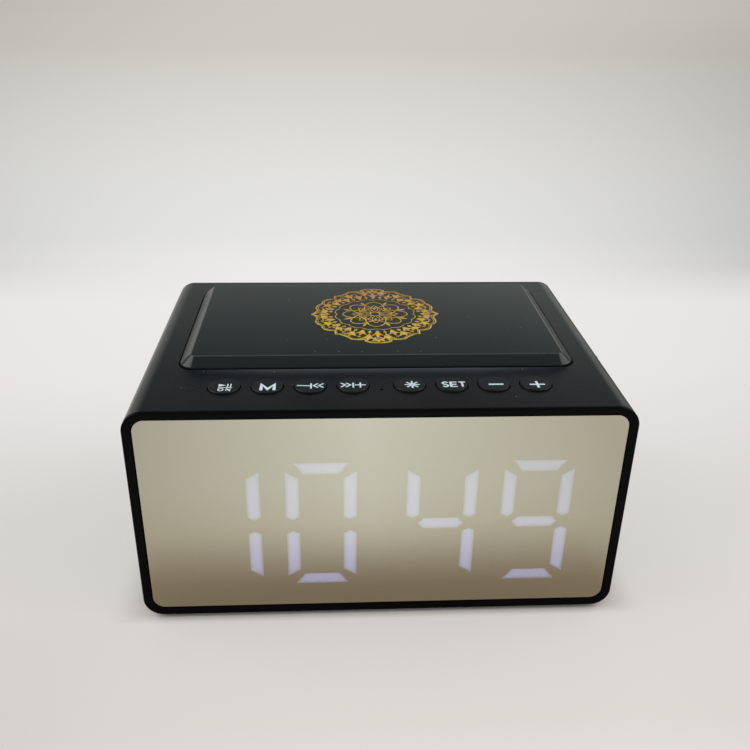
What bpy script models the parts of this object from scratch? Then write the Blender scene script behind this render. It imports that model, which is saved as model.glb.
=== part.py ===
"""A table-top prayer clock: a low black casing with a mirror display and a speaker inside.

The clock stands on Z = 0 and its display looks towards -Y. The origin is under the middle of
the casing. X runs to the right as seen from the front, Y to the back and Z up. Lengths are in
metres. Depths and setbacks are measured from the front face of the casing towards the back.
"""

import math

import bmesh
import bpy
from mathutils import Matrix, Vector

# Driving sizes of the casing
CASE_WIDTH = 0.1474
CASE_DEPTH = 0.1065
CASE_HEIGHT = 0.0719
CASE_CORNER = 0.006
WALL = 0.0024
STAND_HEIGHT = 0.0011
EDGE_BREAK = 0.0003

# Fits and cuts
FIT_GAP = 0.00025
BITE = 0.0008
OVERRUN = 0.002

# Smoothness of the round shapes
CORNER_STEPS = 6
KEY_SIDES = 20
SPEAKER_SIDES = 18
SMALL_SIDES = 12
SMOOTH_ANGLE = math.radians(35)

# Front bezel and the mirror panel that sits in it
BORDER = 0.00265
TOP_BORDER = 0.002
OPENING_CORNER = 0.004
BEZEL_FACE = 0.0012
PANEL_RECESS = 0.0003
PANEL_THICK = 0.002
LEDGE_WIDTH = 0.002
LEDGE_THICK = 0.0014
FRONT_LIP = 0.001
LIP_DEPTH = 0.007

# Display behind the mirror
DIGITS_SIDE_MARGIN = 0.01602
DIGITS_TOP_MARGIN = 0.01835
DIGITS_LOW_MARGIN = 0.0091
DIGIT_SPACE = 0.0043
COLON_SPACE = 0.0026
SEGMENT_WIDTH = 0.0041
SEGMENT_OUTER_END = 0.0029
SEGMENT_INNER_END = 0.0054
SEGMENT_POINT = 0.0011
WAIST = 0.00185
BAR_OUTER_END = 0.0023
BAR_INNER_END = 0.0054
BAR_TIP = 0.0035
BAR_SHOULDER = 0.0055
COLON_DOT = 0.0032
COLON_SPREAD = 0.0075
MASK_THICK = 0.002
DIFFUSER_THICK = 0.001
DIFFUSER_MARGIN = 0.0016
DISPLAY_BOARD_THICK = 0.0016
DISPLAY_BOARD_MARGIN = 0.0025
RECEIVER_WIDTH = 0.005
RECEIVER_HEIGHT = 0.004
RECEIVER_DEPTH = 0.003
RECEIVER_SPACE = 0.00275

# Raised plate on the top
PLATE_SIDE_INSET = 0.012
PLATE_SETBACK = 0.02805
PLATE_BACK_INSET = 0.0085
PLATE_CORNER = 0.005
PLATE_RISE = 0.00315
PLATE_FOOT = 0.00045
PLATE_CHAMFER = 0.0033
PLATE_EDGE_ROUND = 0.00022
GROOVE = 0.0005
POCKET_DEPTH = 0.001
PEG_RADIUS = 0.0015
PEG_LENGTH = 0.0036
PEG_INSET = 0.009

# Keys along the front of the top
KEYS_EACH_SIDE = 4
KEY_SPACE = 0.00126
KEY_SETBACK = 0.0158
KEY_RADIUS = 0.00465
KEY_PROUD = 0.0005
KEY_ROUND = 0.0004
KEY_FLANGE_WIDTH = 0.00105
KEY_FLANGE_THICK = 0.0008
KEY_STEM_RADIUS = 0.0015
KEY_STEM = 0.001
KEY_TRAVEL = 0.0005
PRESS_GAP = 0.0001
SWITCH_SIDE = 0.006
SWITCH_THICK = 0.0031
PLUNGER_RADIUS = 0.0017
PLUNGER = 0.001
KEY_BOARD_WIDTH = 0.01
KEY_BOARD_END = 0.004
BOARD_THICK = 0.0012
POST_RADIUS = 0.0024
PIN_RADIUS = 0.001
PIN_LENGTH = 0.0022
KEY_POST_SPACE = 0.0009
MIC_SETBACK = 0.0137
MIC_HOLE_RADIUS = 0.0006
MIC_RADIUS = 0.0021
MIC_THICK = 0.0022
MIC_SIDE_SPACE = 0.0006

# Round button on the right wall
SIDE_BUTTON_SETBACK = 0.04755
SIDE_TOP_SPACE = 0.0022
SIDE_BUTTON_RADIUS = 0.006
SIDE_BUTTON_PROUD = 0.0016
SIDE_BUTTON_ROUND = 0.0006
SIDE_FLANGE_WIDTH = 0.0009
SIDE_FLANGE_THICK = 0.001
SIDE_STEM = 0.0012
SIDE_TRAVEL = 0.0007
SIDE_BOARD_LENGTH = 0.028
SIDE_BOARD_WIDTH = 0.011
SIDE_POST_INSET = 0.0028

# Rear cover with its grilles and screws
COVER_THICK = 0.0022
COVER_RECESS = 0.0003
BACK_LIP = 0.0012
GRILLE_INSET = 0.0039
SLOT_WIDTH = 0.0016
SLOT_PITCH = 0.0036
SLOT_END_MARGIN = 0.0035
SLOT_STEPS = 4
COLLAR_THICK = 0.0012
COLLAR_HEIGHT = 0.003
SCREW_POST_RADIUS = 0.0034
SCREW_POST_LENGTH = 0.012
SCREW_RADIUS = 0.0013
SCREW_LENGTH = 0.0095
SCREW_HEAD_RADIUS = 0.0025
SCREW_HEAD = 0.0013
SCREW_SINK = 0.0002
SCREW_SLOT_WIDTH = 0.0005
SCREW_SLOT_INSET = 0.0006
SCREW_SLOT_DEPTH = 0.0006

# Loudspeakers behind the grilles
SPEAKER_OFFSET = 0.036
SPEAKER_TOP_SPACE = 0.00425
SPEAKER_LOW_SPACE = 0.00165
SPEAKER_RIM = 0.0028
SPEAKER_FLANGE = 0.0012
BASKET_TAPER = 0.0061
BASKET_DEPTH = 0.01
BASKET_WALL = 0.0008
MAGNET_INSET = 0.001
MAGNET_THICK = 0.0068
SURROUND_WIDTH = 0.0028
CONE_FRONT = 0.001
CONE_DEPTH = 0.005
CONE_WALL = 0.0006
CAP_RIM = 0.0008
CAP_DEPTH = 0.003
COIL_RADIUS = 0.0052
COIL_WALL = 0.0008
COIL_END_SPACE = 0.0012
POLE_SPACE = 0.00065
STROKE_SPACE = 0.001
SURROUND_GAP = 0.0003
SURROUND_THICK = 0.0004
SURROUND_RISE = 0.0006

# Main board and the sockets on its back edge
MAIN_BOARD_WIDTH = 0.094
MAIN_BOARD_LENGTH = 0.04
MAIN_BOARD_THICK = 0.0016
MAIN_POST_HEIGHT = 0.005
MAIN_POST_INSET = 0.005
USB_OFFSET = 0.024
USB_WIDTH = 0.0078
USB_HEIGHT = 0.0034
USB_LENGTH = 0.0062
SHEET = 0.0004
USB_TONGUE = 0.0005
CARD_OFFSET = 0.0
CARD_WIDTH = 0.014
CARD_HEIGHT = 0.0026
CARD_LENGTH = 0.0145
CARD_SIDE_WALL = 0.0013
CARD_SLOT_HEIGHT = 0.0011
AUX_OFFSET = -0.022
AUX_WIDTH = 0.0066
AUX_HEIGHT = 0.0064
AUX_LENGTH = 0.012
AUX_BORE = 0.0018
AUX_BORE_DEPTH = 0.0095
AUX_COLLAR = 0.0028
AUX_COLLAR_LENGTH = 0.0018
PORT_MARGIN = 0.0006

# Battery in its holder
BATTERY_RADIUS = 0.0092
BATTERY_LENGTH = 0.065
BATTERY_SETBACK = 0.02875
BUTTON_CELL_RADIUS = 0.0032
BUTTON_CELL_LENGTH = 0.0012
HOLDER_WALL = 0.0016
HOLDER_HEIGHT = 0.012

# Rubber feet
FOOT_RADIUS = 0.005
FOOT_RECESS = 0.0006
FOOT_ROUND = 0.0003
FOOT_SIDE_INSET = 0.0137
FOOT_END_INSET = 0.01125

# Places worked out from the sizes above
FRONT_Y = -CASE_DEPTH / 2
BACK_Y = CASE_DEPTH / 2
BASE_Z = STAND_HEIGHT
TOP_Z = BASE_Z + CASE_HEIGHT
MIDDLE_Z = BASE_Z + CASE_HEIGHT / 2
OPENING_Z = MIDDLE_Z + (BORDER - TOP_BORDER) / 2
INNER_TOP_Z = TOP_Z - WALL
INNER_FLOOR_Z = BASE_Z + WALL
INNER_RIGHT_X = CASE_WIDTH / 2 - WALL

PANEL_BACK = PANEL_RECESS + PANEL_THICK
LEDGE_FRONT = PANEL_BACK + FIT_GAP
LEDGE_BACK = LEDGE_FRONT + LEDGE_THICK
MASK_FLANGE_FRONT = LEDGE_BACK + FIT_GAP
MASK_BACK = MASK_FLANGE_FRONT + MASK_THICK
DIFFUSER_FRONT = LEDGE_FRONT + FIT_GAP
DIFFUSER_SHEET_FRONT = MASK_BACK + FIT_GAP
DIFFUSER_BACK = DIFFUSER_SHEET_FRONT + DIFFUSER_THICK
DISPLAY_BOARD_FRONT = DIFFUSER_BACK + FIT_GAP
DISPLAY_BOARD_BACK = DISPLAY_BOARD_FRONT + DISPLAY_BOARD_THICK

DIGIT_HEIGHT = CASE_HEIGHT - DIGITS_TOP_MARGIN - DIGITS_LOW_MARGIN
DIGIT_LOW_Z = BASE_Z + DIGITS_LOW_MARGIN
DIGIT_MIDDLE_Z = DIGIT_LOW_Z + DIGIT_HEIGHT / 2
COLON_HALF = COLON_DOT / 2 + DIFFUSER_MARGIN
DIGIT_START = COLON_HALF + COLON_SPACE + DIFFUSER_MARGIN
DIGIT_STEP = DIGIT_SPACE + 2 * DIFFUSER_MARGIN
DIGIT_WIDTH = (CASE_WIDTH / 2 - DIGITS_SIDE_MARGIN - DIGIT_START - DIGIT_STEP) / 2
INNER_DIGIT_X = DIGIT_START + DIGIT_WIDTH / 2
OUTER_DIGIT_X = INNER_DIGIT_X + DIGIT_WIDTH + DIGIT_STEP
DIGIT_PLACES = [-OUTER_DIGIT_X, -INNER_DIGIT_X, INNER_DIGIT_X, OUTER_DIGIT_X]
DIGIT_SHEET_X = OUTER_DIGIT_X + DIGIT_WIDTH / 2 + DIFFUSER_MARGIN
RECEIVER_X = DIGIT_SHEET_X + RECEIVER_SPACE + RECEIVER_WIDTH / 2

PLATE_WIDTH = CASE_WIDTH - 2 * PLATE_SIDE_INSET
PLATE_LENGTH = CASE_DEPTH - PLATE_SETBACK - PLATE_BACK_INSET
PLATE_Y = FRONT_Y + PLATE_SETBACK + PLATE_LENGTH / 2

KEY_FLANGE_RADIUS = KEY_RADIUS + KEY_FLANGE_WIDTH
KEY_PITCH = 2 * KEY_FLANGE_RADIUS + KEY_SPACE
KEY_MIDDLE_PITCH = 2 * (KEY_FLANGE_RADIUS + MIC_SIDE_SPACE + MIC_RADIUS)
KEY_PLACES = sorted(
    side * (KEY_MIDDLE_PITCH / 2 + step * KEY_PITCH)
    for side in (-1, 1)
    for step in range(KEYS_EACH_SIDE)
)
KEY_Y = FRONT_Y + KEY_SETBACK
KEY_TOP_Z = TOP_Z + KEY_PROUD
KEY_FLANGE_TOP_Z = INNER_TOP_Z - FIT_GAP
KEY_FLANGE_LOW_Z = KEY_FLANGE_TOP_Z - KEY_FLANGE_THICK
KEY_STEM_Z = KEY_FLANGE_LOW_Z - KEY_STEM
PLUNGER_Z = KEY_STEM_Z - KEY_TRAVEL - PRESS_GAP
SWITCH_TOP_Z = PLUNGER_Z - PLUNGER
SWITCH_LOW_Z = SWITCH_TOP_Z - SWITCH_THICK
KEY_BOARD_TOP_Z = SWITCH_LOW_Z - FIT_GAP
KEY_BOARD_LOW_Z = KEY_BOARD_TOP_Z - BOARD_THICK
KEY_POST_X = KEY_PLACES[-1] + KEY_FLANGE_RADIUS + KEY_POST_SPACE + POST_RADIUS

SIDE_Y = FRONT_Y + SIDE_BUTTON_SETBACK
SIDE_FLANGE_RADIUS = SIDE_BUTTON_RADIUS + SIDE_FLANGE_WIDTH
SIDE_Z = INNER_TOP_Z - SIDE_TOP_SPACE - SIDE_FLANGE_RADIUS
SIDE_POST_OFFSET = SIDE_BOARD_LENGTH / 2 - SIDE_POST_INSET
INNER_CORNER = CASE_CORNER - WALL
FLANGE_REACH = SIDE_Z + SIDE_FLANGE_RADIUS - (TOP_Z - CASE_CORNER)
CORNER_SAG = INNER_CORNER - math.sqrt(max(0, INNER_CORNER**2 - max(0, FLANGE_REACH) ** 2))
SIDE_FLANGE_X = INNER_RIGHT_X - CORNER_SAG - FIT_GAP
SIDE_FLANGE_LOW_X = SIDE_FLANGE_X - SIDE_FLANGE_THICK
SIDE_STEM_X = SIDE_FLANGE_LOW_X - SIDE_STEM
SIDE_PLUNGER_X = SIDE_STEM_X - SIDE_TRAVEL - PRESS_GAP
SIDE_SWITCH_X = SIDE_PLUNGER_X - PLUNGER
SIDE_BOARD_X = SIDE_SWITCH_X - SWITCH_THICK - FIT_GAP

COVER_BACK_Y = BACK_Y - COVER_RECESS
COVER_FRONT_Y = COVER_BACK_Y - COVER_THICK
SEAT_Y = COVER_FRONT_Y - FIT_GAP
SCREW_INSET = WALL + SCREW_POST_RADIUS - BITE
SCREW_PLACES = [
    (side * (CASE_WIDTH / 2 - SCREW_INSET), height)
    for side in (-1, 1)
    for height in (BASE_Z + SCREW_INSET, TOP_Z - SCREW_INSET)
]

MAIN_BOARD_LOW_Z = INNER_FLOOR_Z + MAIN_POST_HEIGHT + FIT_GAP
MAIN_BOARD_TOP_Z = MAIN_BOARD_LOW_Z + MAIN_BOARD_THICK
SOCKET_LOW_Z = MAIN_BOARD_TOP_Z + FIT_GAP
SOCKET_BACK_Y = COVER_FRONT_Y - FIT_GAP
MAIN_BOARD_BACK_Y = SOCKET_BACK_Y
MAIN_BOARD_FRONT_Y = MAIN_BOARD_BACK_Y - MAIN_BOARD_LENGTH

SPEAKER_Y = COVER_FRONT_Y - FIT_GAP
SPEAKER_LOW_Z = SOCKET_LOW_Z + AUX_HEIGHT + SPEAKER_LOW_SPACE
COLLAR_RADIUS = (INNER_TOP_Z - SPEAKER_TOP_SPACE - SPEAKER_LOW_Z) / 2
SPEAKER_Z = SPEAKER_LOW_Z + COLLAR_RADIUS
SPEAKER_RADIUS = COLLAR_RADIUS - COLLAR_THICK - FIT_GAP
SPEAKER_MOUTH = SPEAKER_RADIUS - SPEAKER_RIM
CONE_RADIUS = SPEAKER_MOUTH - SURROUND_WIDTH
BASKET_RADIUS = SPEAKER_MOUTH - BASKET_TAPER
MAGNET_RADIUS = BASKET_RADIUS - MAGNET_INSET
CAP_RADIUS = COIL_RADIUS + CAP_RIM
COIL_END = BASKET_DEPTH - BASKET_WALL - COIL_END_SPACE
POLE_RADIUS = COIL_RADIUS - COIL_WALL - POLE_SPACE
POLE_HOLE = POLE_RADIUS + FIT_GAP
POLE_DEPTH = CONE_DEPTH + STROKE_SPACE
GRILLE_RADIUS = SPEAKER_RADIUS - GRILLE_INSET
SLOTS_EACH_SIDE = int((GRILLE_RADIUS - SLOT_END_MARGIN) / SLOT_PITCH)

CARD_SLOT_WIDTH = CARD_WIDTH - 2 * CARD_SIDE_WALL

HOLDER_LOW_Z = INNER_FLOOR_Z + FIT_GAP
BATTERY_Z = HOLDER_LOW_Z + HOLDER_WALL + FIT_GAP + BATTERY_RADIUS
BATTERY_Y = FRONT_Y + BATTERY_SETBACK

# Turns the +Z of a turned shape to another axis
ALONG_X = Matrix.Rotation(math.radians(90), 4, "Y")
ALONG_Y = Matrix.Rotation(math.radians(-90), 4, "X")
UPRIGHT = Matrix()


def linear(hex_colour):
    """The linear colour of an sRGB hex value."""
    channels = [int(hex_colour[i : i + 2], 16) / 255 for i in (0, 2, 4)]
    spread = [c / 12.92 if c <= 0.04045 else ((c + 0.055) / 1.055) ** 2.4 for c in channels]
    return (*spread, 1)


def finish(name, hex_colour, roughness, metallic=0):
    """A Principled material with one colour."""
    material = bpy.data.materials.new(name)
    material.use_nodes = True
    shader = material.node_tree.nodes["Principled BSDF"]
    shader.inputs["Base Color"].default_value = linear(hex_colour)
    shader.inputs["Roughness"].default_value = roughness
    shader.inputs["Metallic"].default_value = metallic
    return material


def add_loops(shape, loops, closed=False):
    """Joins equal loops of points into a skin, capped at its ends or closed into a ring."""
    rings = [[shape.verts.new(point) for point in loop] for loop in loops]
    pairs = list(zip(rings, rings[1:]))
    if closed:
        pairs.append((rings[-1], rings[0]))
    else:
        shape.faces.new(rings[0])
        shape.faces.new(rings[-1])
    for near, far in pairs:
        for i in range(len(near)):
            j = (i + 1) % len(near)
            shape.faces.new((near[i], near[j], far[j], far[i]))


def add_turned(shape, profile, sides, place=UPRIGHT):
    """Turns (radius, height) points about Z. A profile that never meets the axis is a ring."""
    rings = []
    for radius, height in profile:
        count = sides if radius > 0 else 1
        turns = [math.tau * i / count for i in range(count)]
        points = [Vector((radius * math.cos(t), radius * math.sin(t), height)) for t in turns]
        rings.append([shape.verts.new(place @ point) for point in points])
    pairs = list(zip(rings, rings[1:]))
    if len(rings[0]) > 1 and len(rings[-1]) > 1:
        pairs.append((rings[-1], rings[0]))
    for near, far in pairs:
        for i in range(sides):
            j = (i + 1) % sides
            corners = [near[i % len(near)], near[j % len(near)], far[j % len(far)], far[i % len(far)]]
            shape.faces.new(list(dict.fromkeys(corners)))


def add_rod(shape, radius, low, high, sides, place=UPRIGHT):
    """A plain round rod from low to high along the axis."""
    add_turned(shape, [(0, low), (radius, low), (radius, high), (0, high)], sides, place)


def add_box(shape, low, high):
    """A box between two corners."""
    corners = [(low[0], low[1]), (high[0], low[1]), (high[0], high[1]), (low[0], high[1])]
    add_loops(shape, [[(x, y, z) for x, y in corners] for z in (low[2], high[2])])


def add_front_prism(shape, outline, front_y, back_y):
    """A prism whose (x, z) outline is drawn on the front and runs to the back."""
    add_loops(shape, [[(x, y, z) for x, z in outline] for y in (front_y, back_y)])


def rounded_outline(half_width, half_height, radius, centre=(0, 0)):
    """The points of a rectangle with round corners, anticlockwise."""
    points = []
    for quarter, (side, end) in enumerate(((1, 1), (-1, 1), (-1, -1), (1, -1))):
        middle_x = centre[0] + side * (half_width - radius)
        middle_y = centre[1] + end * (half_height - radius)
        for step in range(CORNER_STEPS + 1):
            turn = math.pi / 2 * (quarter + step / CORNER_STEPS)
            points.append((middle_x + radius * math.cos(turn), middle_y + radius * math.sin(turn)))
    return points


def casing_loop(inset, depth):
    """The casing's outline drawn in by inset, at a depth behind the front face."""
    half_width = CASE_WIDTH / 2 - inset
    half_height = CASE_HEIGHT / 2 - inset
    outline = rounded_outline(half_width, half_height, CASE_CORNER - inset, (0, MIDDLE_Z))
    return [(x, FRONT_Y + depth, z) for x, z in outline]


def opening_loop(inset, depth):
    """The outline of the display's opening drawn in by inset, at a depth behind the front face."""
    half_width = CASE_WIDTH / 2 - BORDER - inset
    half_height = (CASE_HEIGHT - BORDER - TOP_BORDER) / 2 - inset
    outline = rounded_outline(half_width, half_height, OPENING_CORNER - inset, (0, OPENING_Z))
    return [(x, FRONT_Y + depth, z) for x, z in outline]


def plate_loop(inset, z):
    """The raised plate's outline drawn in by inset, at a height."""
    half_width = PLATE_WIDTH / 2 - inset
    half_length = PLATE_LENGTH / 2 - inset
    outline = rounded_outline(half_width, half_length, PLATE_CORNER - inset, (0, PLATE_Y))
    return [(x, y, z) for x, y in outline]


def drawn_in(outline, distance):
    """A convex outline with every side moved inwards by a distance."""
    count = len(outline)
    middle = sum((Vector(point) for point in outline), Vector((0, 0))) / count
    lines = []
    for i in range(count):
        start = Vector(outline[i])
        along = (Vector(outline[(i + 1) % count]) - start).normalized()
        normal = Vector((-along.y, along.x))
        if normal.dot(middle - start) < 0:
            normal = -normal
        lines.append((start + normal * distance, along))
    points = []
    for i in range(count):
        (first, one), (second, two) = lines[i - 1], lines[i]
        reach = (second - first).cross(two) / one.cross(two)
        points.append(tuple(first + one * reach))
    return points


def make(name, shape, material, origin=(0, 0, 0)):
    """Turns a shape given in world places into an object whose origin is at the given place."""
    bmesh.ops.recalc_face_normals(shape, faces=shape.faces)
    bmesh.ops.translate(shape, verts=shape.verts, vec=-Vector(origin))
    mesh = bpy.data.meshes.new(name)
    shape.to_mesh(mesh)
    shape.free()
    mesh.materials.append(material)
    mesh.shade_smooth()
    mesh.set_sharp_from_angle(angle=SMOOTH_ANGLE)
    made = bpy.data.objects.new(name, mesh)
    made.location = origin
    bpy.context.scene.collection.objects.link(made)
    return made


def combine(target, shape, operation):
    """Joins a shape to an object, or cuts it away, with a Boolean that stays on the object."""
    tool = make(f"{target.name}_{operation.lower()}", shape, target.data.materials[0])
    tool.hide_render = True
    tool.display_type = "WIRE"
    modifier = target.modifiers.new(operation.title(), "BOOLEAN")
    modifier.operation = operation
    modifier.solver = "EXACT"
    modifier.object = tool


def copies(first, name, places):
    """Further objects that share a mesh, each at its own place."""
    for number, place in enumerate(places, start=2):
        twin = bpy.data.objects.new(f"{name}_{number}", first.data)
        twin.location = place
        bpy.context.scene.collection.objects.link(twin)


def stepped_post(shape, start, end, pin_end, place):
    """A post with a thinner pin on its end, along the place's axis."""
    profile = [
        (0, start),
        (POST_RADIUS, start),
        (POST_RADIUS, end),
        (PIN_RADIUS, end),
        (PIN_RADIUS, pin_end),
        (0, pin_end),
    ]
    add_turned(shape, profile, SMALL_SIDES, place)


def main_post_places():
    """Where the posts under the main board stand."""
    half = MAIN_BOARD_WIDTH / 2 - MAIN_POST_INSET
    ends = (MAIN_BOARD_FRONT_Y + MAIN_POST_INSET, MAIN_BOARD_BACK_Y - MAIN_POST_INSET)
    return [(side * half, y) for side in (-1, 1) for y in ends]


def side_post_places():
    """Where the posts of the side board stand on the right wall."""
    return [SIDE_Y - SIDE_POST_OFFSET, SIDE_Y + SIDE_POST_OFFSET]


def foot_places():
    """The centres of the four feet."""
    half_x = CASE_WIDTH / 2 - FOOT_SIDE_INSET
    half_y = CASE_DEPTH / 2 - FOOT_END_INSET
    return [(side * half_x, end * half_y) for side in (-1, 1) for end in (-1, 1)]


def peg_places():
    """The centres of the four pegs under the raised plate."""
    half_x = PLATE_WIDTH / 2 - PEG_INSET
    half_y = PLATE_LENGTH / 2 - PEG_INSET
    return [(side * half_x, PLATE_Y + end * half_y) for side in (-1, 1) for end in (-1, 1)]


def body_shell(material):
    """The moulded sleeve: walls, posts for boards and screws, and every hole in them."""
    front = BEZEL_FACE + FIT_GAP
    seat = SEAT_Y - FRONT_Y
    profile = [
        (0, front + EDGE_BREAK),
        (EDGE_BREAK, front),
        (FRONT_LIP, front),
        (FRONT_LIP, LIP_DEPTH),
        (WALL, LIP_DEPTH),
        (WALL, seat),
        (BACK_LIP, seat),
        (BACK_LIP, CASE_DEPTH),
        (EDGE_BREAK, CASE_DEPTH),
        (0, CASE_DEPTH - EDGE_BREAK),
    ]
    shape = bmesh.new()
    add_loops(shape, [casing_loop(inset, depth) for inset, depth in profile], closed=True)
    shell = make("body_shell", shape, material)

    posts = bmesh.new()
    for side in (-1, 1):
        place = Matrix.Translation((side * KEY_POST_X, KEY_Y, 0))
        low = KEY_BOARD_TOP_Z + FIT_GAP
        stepped_post(posts, INNER_TOP_Z + BITE, low, low - PIN_LENGTH, place)
    for x, y in main_post_places():
        place = Matrix.Translation((x, y, 0))
        high = MAIN_BOARD_LOW_Z - FIT_GAP
        stepped_post(posts, INNER_FLOOR_Z - BITE, high, high + PIN_LENGTH, place)
    for y in side_post_places():
        place = Matrix.Translation((0, y, SIDE_Z)) @ ALONG_X
        end = SIDE_BOARD_X + FIT_GAP
        stepped_post(posts, INNER_RIGHT_X + BITE, end, end - PIN_LENGTH, place)
    for x, z in SCREW_PLACES:
        place = Matrix.Translation((x, 0, z)) @ ALONG_Y
        end = SEAT_Y - FIT_GAP
        add_rod(posts, SCREW_POST_RADIUS, end - SCREW_POST_LENGTH, end, SMALL_SIDES, place)
    combine(shell, posts, "UNION")

    holes = bmesh.new()
    pocket_floor = TOP_Z - POCKET_DEPTH
    add_loops(holes, [plate_loop(-GROOVE, z) for z in (pocket_floor, TOP_Z + OVERRUN)])
    for x in KEY_PLACES:
        place = Matrix.Translation((x, KEY_Y, 0))
        radius = KEY_RADIUS + FIT_GAP
        add_rod(holes, radius, INNER_TOP_Z - OVERRUN, TOP_Z + OVERRUN, KEY_SIDES, place)
    place = Matrix.Translation((0, FRONT_Y + MIC_SETBACK, 0))
    add_rod(holes, MIC_HOLE_RADIUS, INNER_TOP_Z - OVERRUN, TOP_Z + OVERRUN, SMALL_SIDES, place)
    for x, y in foot_places():
        place = Matrix.Translation((x, y, 0))
        radius = FOOT_RADIUS + FIT_GAP
        add_rod(holes, radius, BASE_Z - OVERRUN, BASE_Z + FOOT_RECESS, SMALL_SIDES, place)
    place = Matrix.Translation((0, SIDE_Y, SIDE_Z)) @ ALONG_X
    low, high = SIDE_FLANGE_X - BITE, CASE_WIDTH / 2 + OVERRUN
    add_rod(holes, SIDE_BUTTON_RADIUS + FIT_GAP, low, high, KEY_SIDES, place)
    for x, z in SCREW_PLACES:
        place = Matrix.Translation((x, 0, z)) @ ALONG_Y
        low = COVER_BACK_Y - SCREW_LENGTH - FIT_GAP
        add_rod(holes, SCREW_RADIUS + FIT_GAP, low, SEAT_Y + OVERRUN, SMALL_SIDES, place)
    combine(shell, holes, "DIFFERENCE")

    peg_holes = bmesh.new()
    for x, y in peg_places():
        place = Matrix.Translation((x, y, 0))
        low, high = INNER_TOP_Z - OVERRUN, TOP_Z + OVERRUN
        add_rod(peg_holes, PEG_RADIUS + FIT_GAP, low, high, SMALL_SIDES, place)
    combine(shell, peg_holes, "DIFFERENCE")


def front_bezel(material):
    """The black frame round the display, with the ledge that the mirror rests on."""
    inside = FRONT_LIP + FIT_GAP
    skirt_end = LIP_DEPTH - FIT_GAP
    outer = [(inside, skirt_end), (inside, BEZEL_FACE), (0, BEZEL_FACE), (0, EDGE_BREAK), (EDGE_BREAK, 0)]
    opening = [
        (-EDGE_BREAK, 0),
        (0, EDGE_BREAK),
        (0, LEDGE_FRONT),
        (LEDGE_WIDTH, LEDGE_FRONT),
        (LEDGE_WIDTH, LEDGE_BACK),
        (0, LEDGE_BACK),
        (0, skirt_end),
    ]
    loops = [casing_loop(inset, depth) for inset, depth in outer]
    loops += [opening_loop(inset, depth) for inset, depth in opening]
    shape = bmesh.new()
    add_loops(shape, loops, closed=True)
    make("front_bezel", shape, material)


def mirror_panel(material):
    """The half-mirror window, set a little behind the bezel's face."""
    shape = bmesh.new()
    add_loops(shape, [opening_loop(FIT_GAP, depth) for depth in (PANEL_RECESS, PANEL_BACK)])
    make("mirror_panel", shape, material)


def segment_outlines():
    """The seven segments of a digit, as (x, z) outlines about its centre."""
    wide, high, thick = DIGIT_WIDTH / 2, DIGIT_HEIGHT / 2, SEGMENT_WIDTH
    top = [
        (-wide + BAR_OUTER_END, high),
        (wide - BAR_OUTER_END, high),
        (wide - BAR_INNER_END, high - thick),
        (-wide + BAR_INNER_END, high - thick),
    ]
    upper_right = [
        (wide - thick, high - SEGMENT_INNER_END),
        (wide, high - SEGMENT_OUTER_END),
        (wide, WAIST + SEGMENT_POINT),
        (wide - thick / 2, WAIST),
        (wide - thick, WAIST + SEGMENT_POINT),
    ]
    middle = [
        (-wide + BAR_TIP, 0),
        (-wide + BAR_SHOULDER, thick / 2),
        (wide - BAR_SHOULDER, thick / 2),
        (wide - BAR_TIP, 0),
        (wide - BAR_SHOULDER, -thick / 2),
        (-wide + BAR_SHOULDER, -thick / 2),
    ]
    outlines = [middle]
    for end in (-1, 1):
        outlines.append([(x, end * z) for x, z in top])
        for side in (-1, 1):
            outlines.append([(side * x, end * z) for x, z in upper_right])
    return outlines


def colon_outlines():
    """The two square dots of the colon."""
    half = COLON_DOT / 2
    square = [(-half, -half), (half, -half), (half, half), (-half, half)]
    return [[(x, z + end * COLON_SPREAD) for x, z in square] for end in (-1, 1)]


def windows_at(outlines, x):
    """Outlines moved to a digit's place on the display."""
    return [[(x + u, DIGIT_MIDDLE_Z + v) for u, v in outline] for outline in outlines]


def receiver_outline(gap):
    """The remote control's receiver, seen from the front, with a gap all round it."""
    half_width = RECEIVER_WIDTH / 2 + gap
    half_height = RECEIVER_HEIGHT / 2 + gap
    corners = [(-half_width, -half_height), (half_width, -half_height)]
    corners += [(half_width, half_height), (-half_width, half_height)]
    return [(RECEIVER_X + x, DIGIT_LOW_Z + z) for x, z in corners]


def display_mask(material):
    """The black light mask behind the mirror, with a window for every segment."""
    narrow = LEDGE_WIDTH + FIT_GAP
    profile = [
        (narrow, LEDGE_FRONT),
        (narrow, MASK_FLANGE_FRONT),
        (FIT_GAP, MASK_FLANGE_FRONT),
        (FIT_GAP, MASK_BACK),
    ]
    shape = bmesh.new()
    add_loops(shape, [opening_loop(inset, depth) for inset, depth in profile])
    mask = make("display_mask", shape, material)
    holes = bmesh.new()
    outlines = [o for x in DIGIT_PLACES for o in windows_at(segment_outlines(), x)]
    outlines += windows_at(colon_outlines(), 0)
    outlines.append(receiver_outline(FIT_GAP))
    for outline in outlines:
        add_front_prism(holes, outline, FRONT_Y, FRONT_Y + MASK_BACK + OVERRUN)
    combine(mask, holes, "DIFFERENCE")


def diffuser(name, outlines, half_width, half_height, x, material):
    """A milky sheet behind the mask, with a block for each of its windows."""
    shape = bmesh.new()
    low = (x - half_width, FRONT_Y + DIFFUSER_SHEET_FRONT, DIGIT_MIDDLE_Z - half_height)
    high = (x + half_width, FRONT_Y + DIFFUSER_BACK, DIGIT_MIDDLE_Z + half_height)
    add_box(shape, low, high)
    sheet = make(name, shape, material)
    blocks = bmesh.new()
    back = FRONT_Y + DIFFUSER_SHEET_FRONT + DIFFUSER_THICK / 2
    for outline in windows_at(outlines, x):
        add_front_prism(blocks, drawn_in(outline, FIT_GAP), FRONT_Y + DIFFUSER_FRONT, back)
    combine(sheet, blocks, "UNION")


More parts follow.
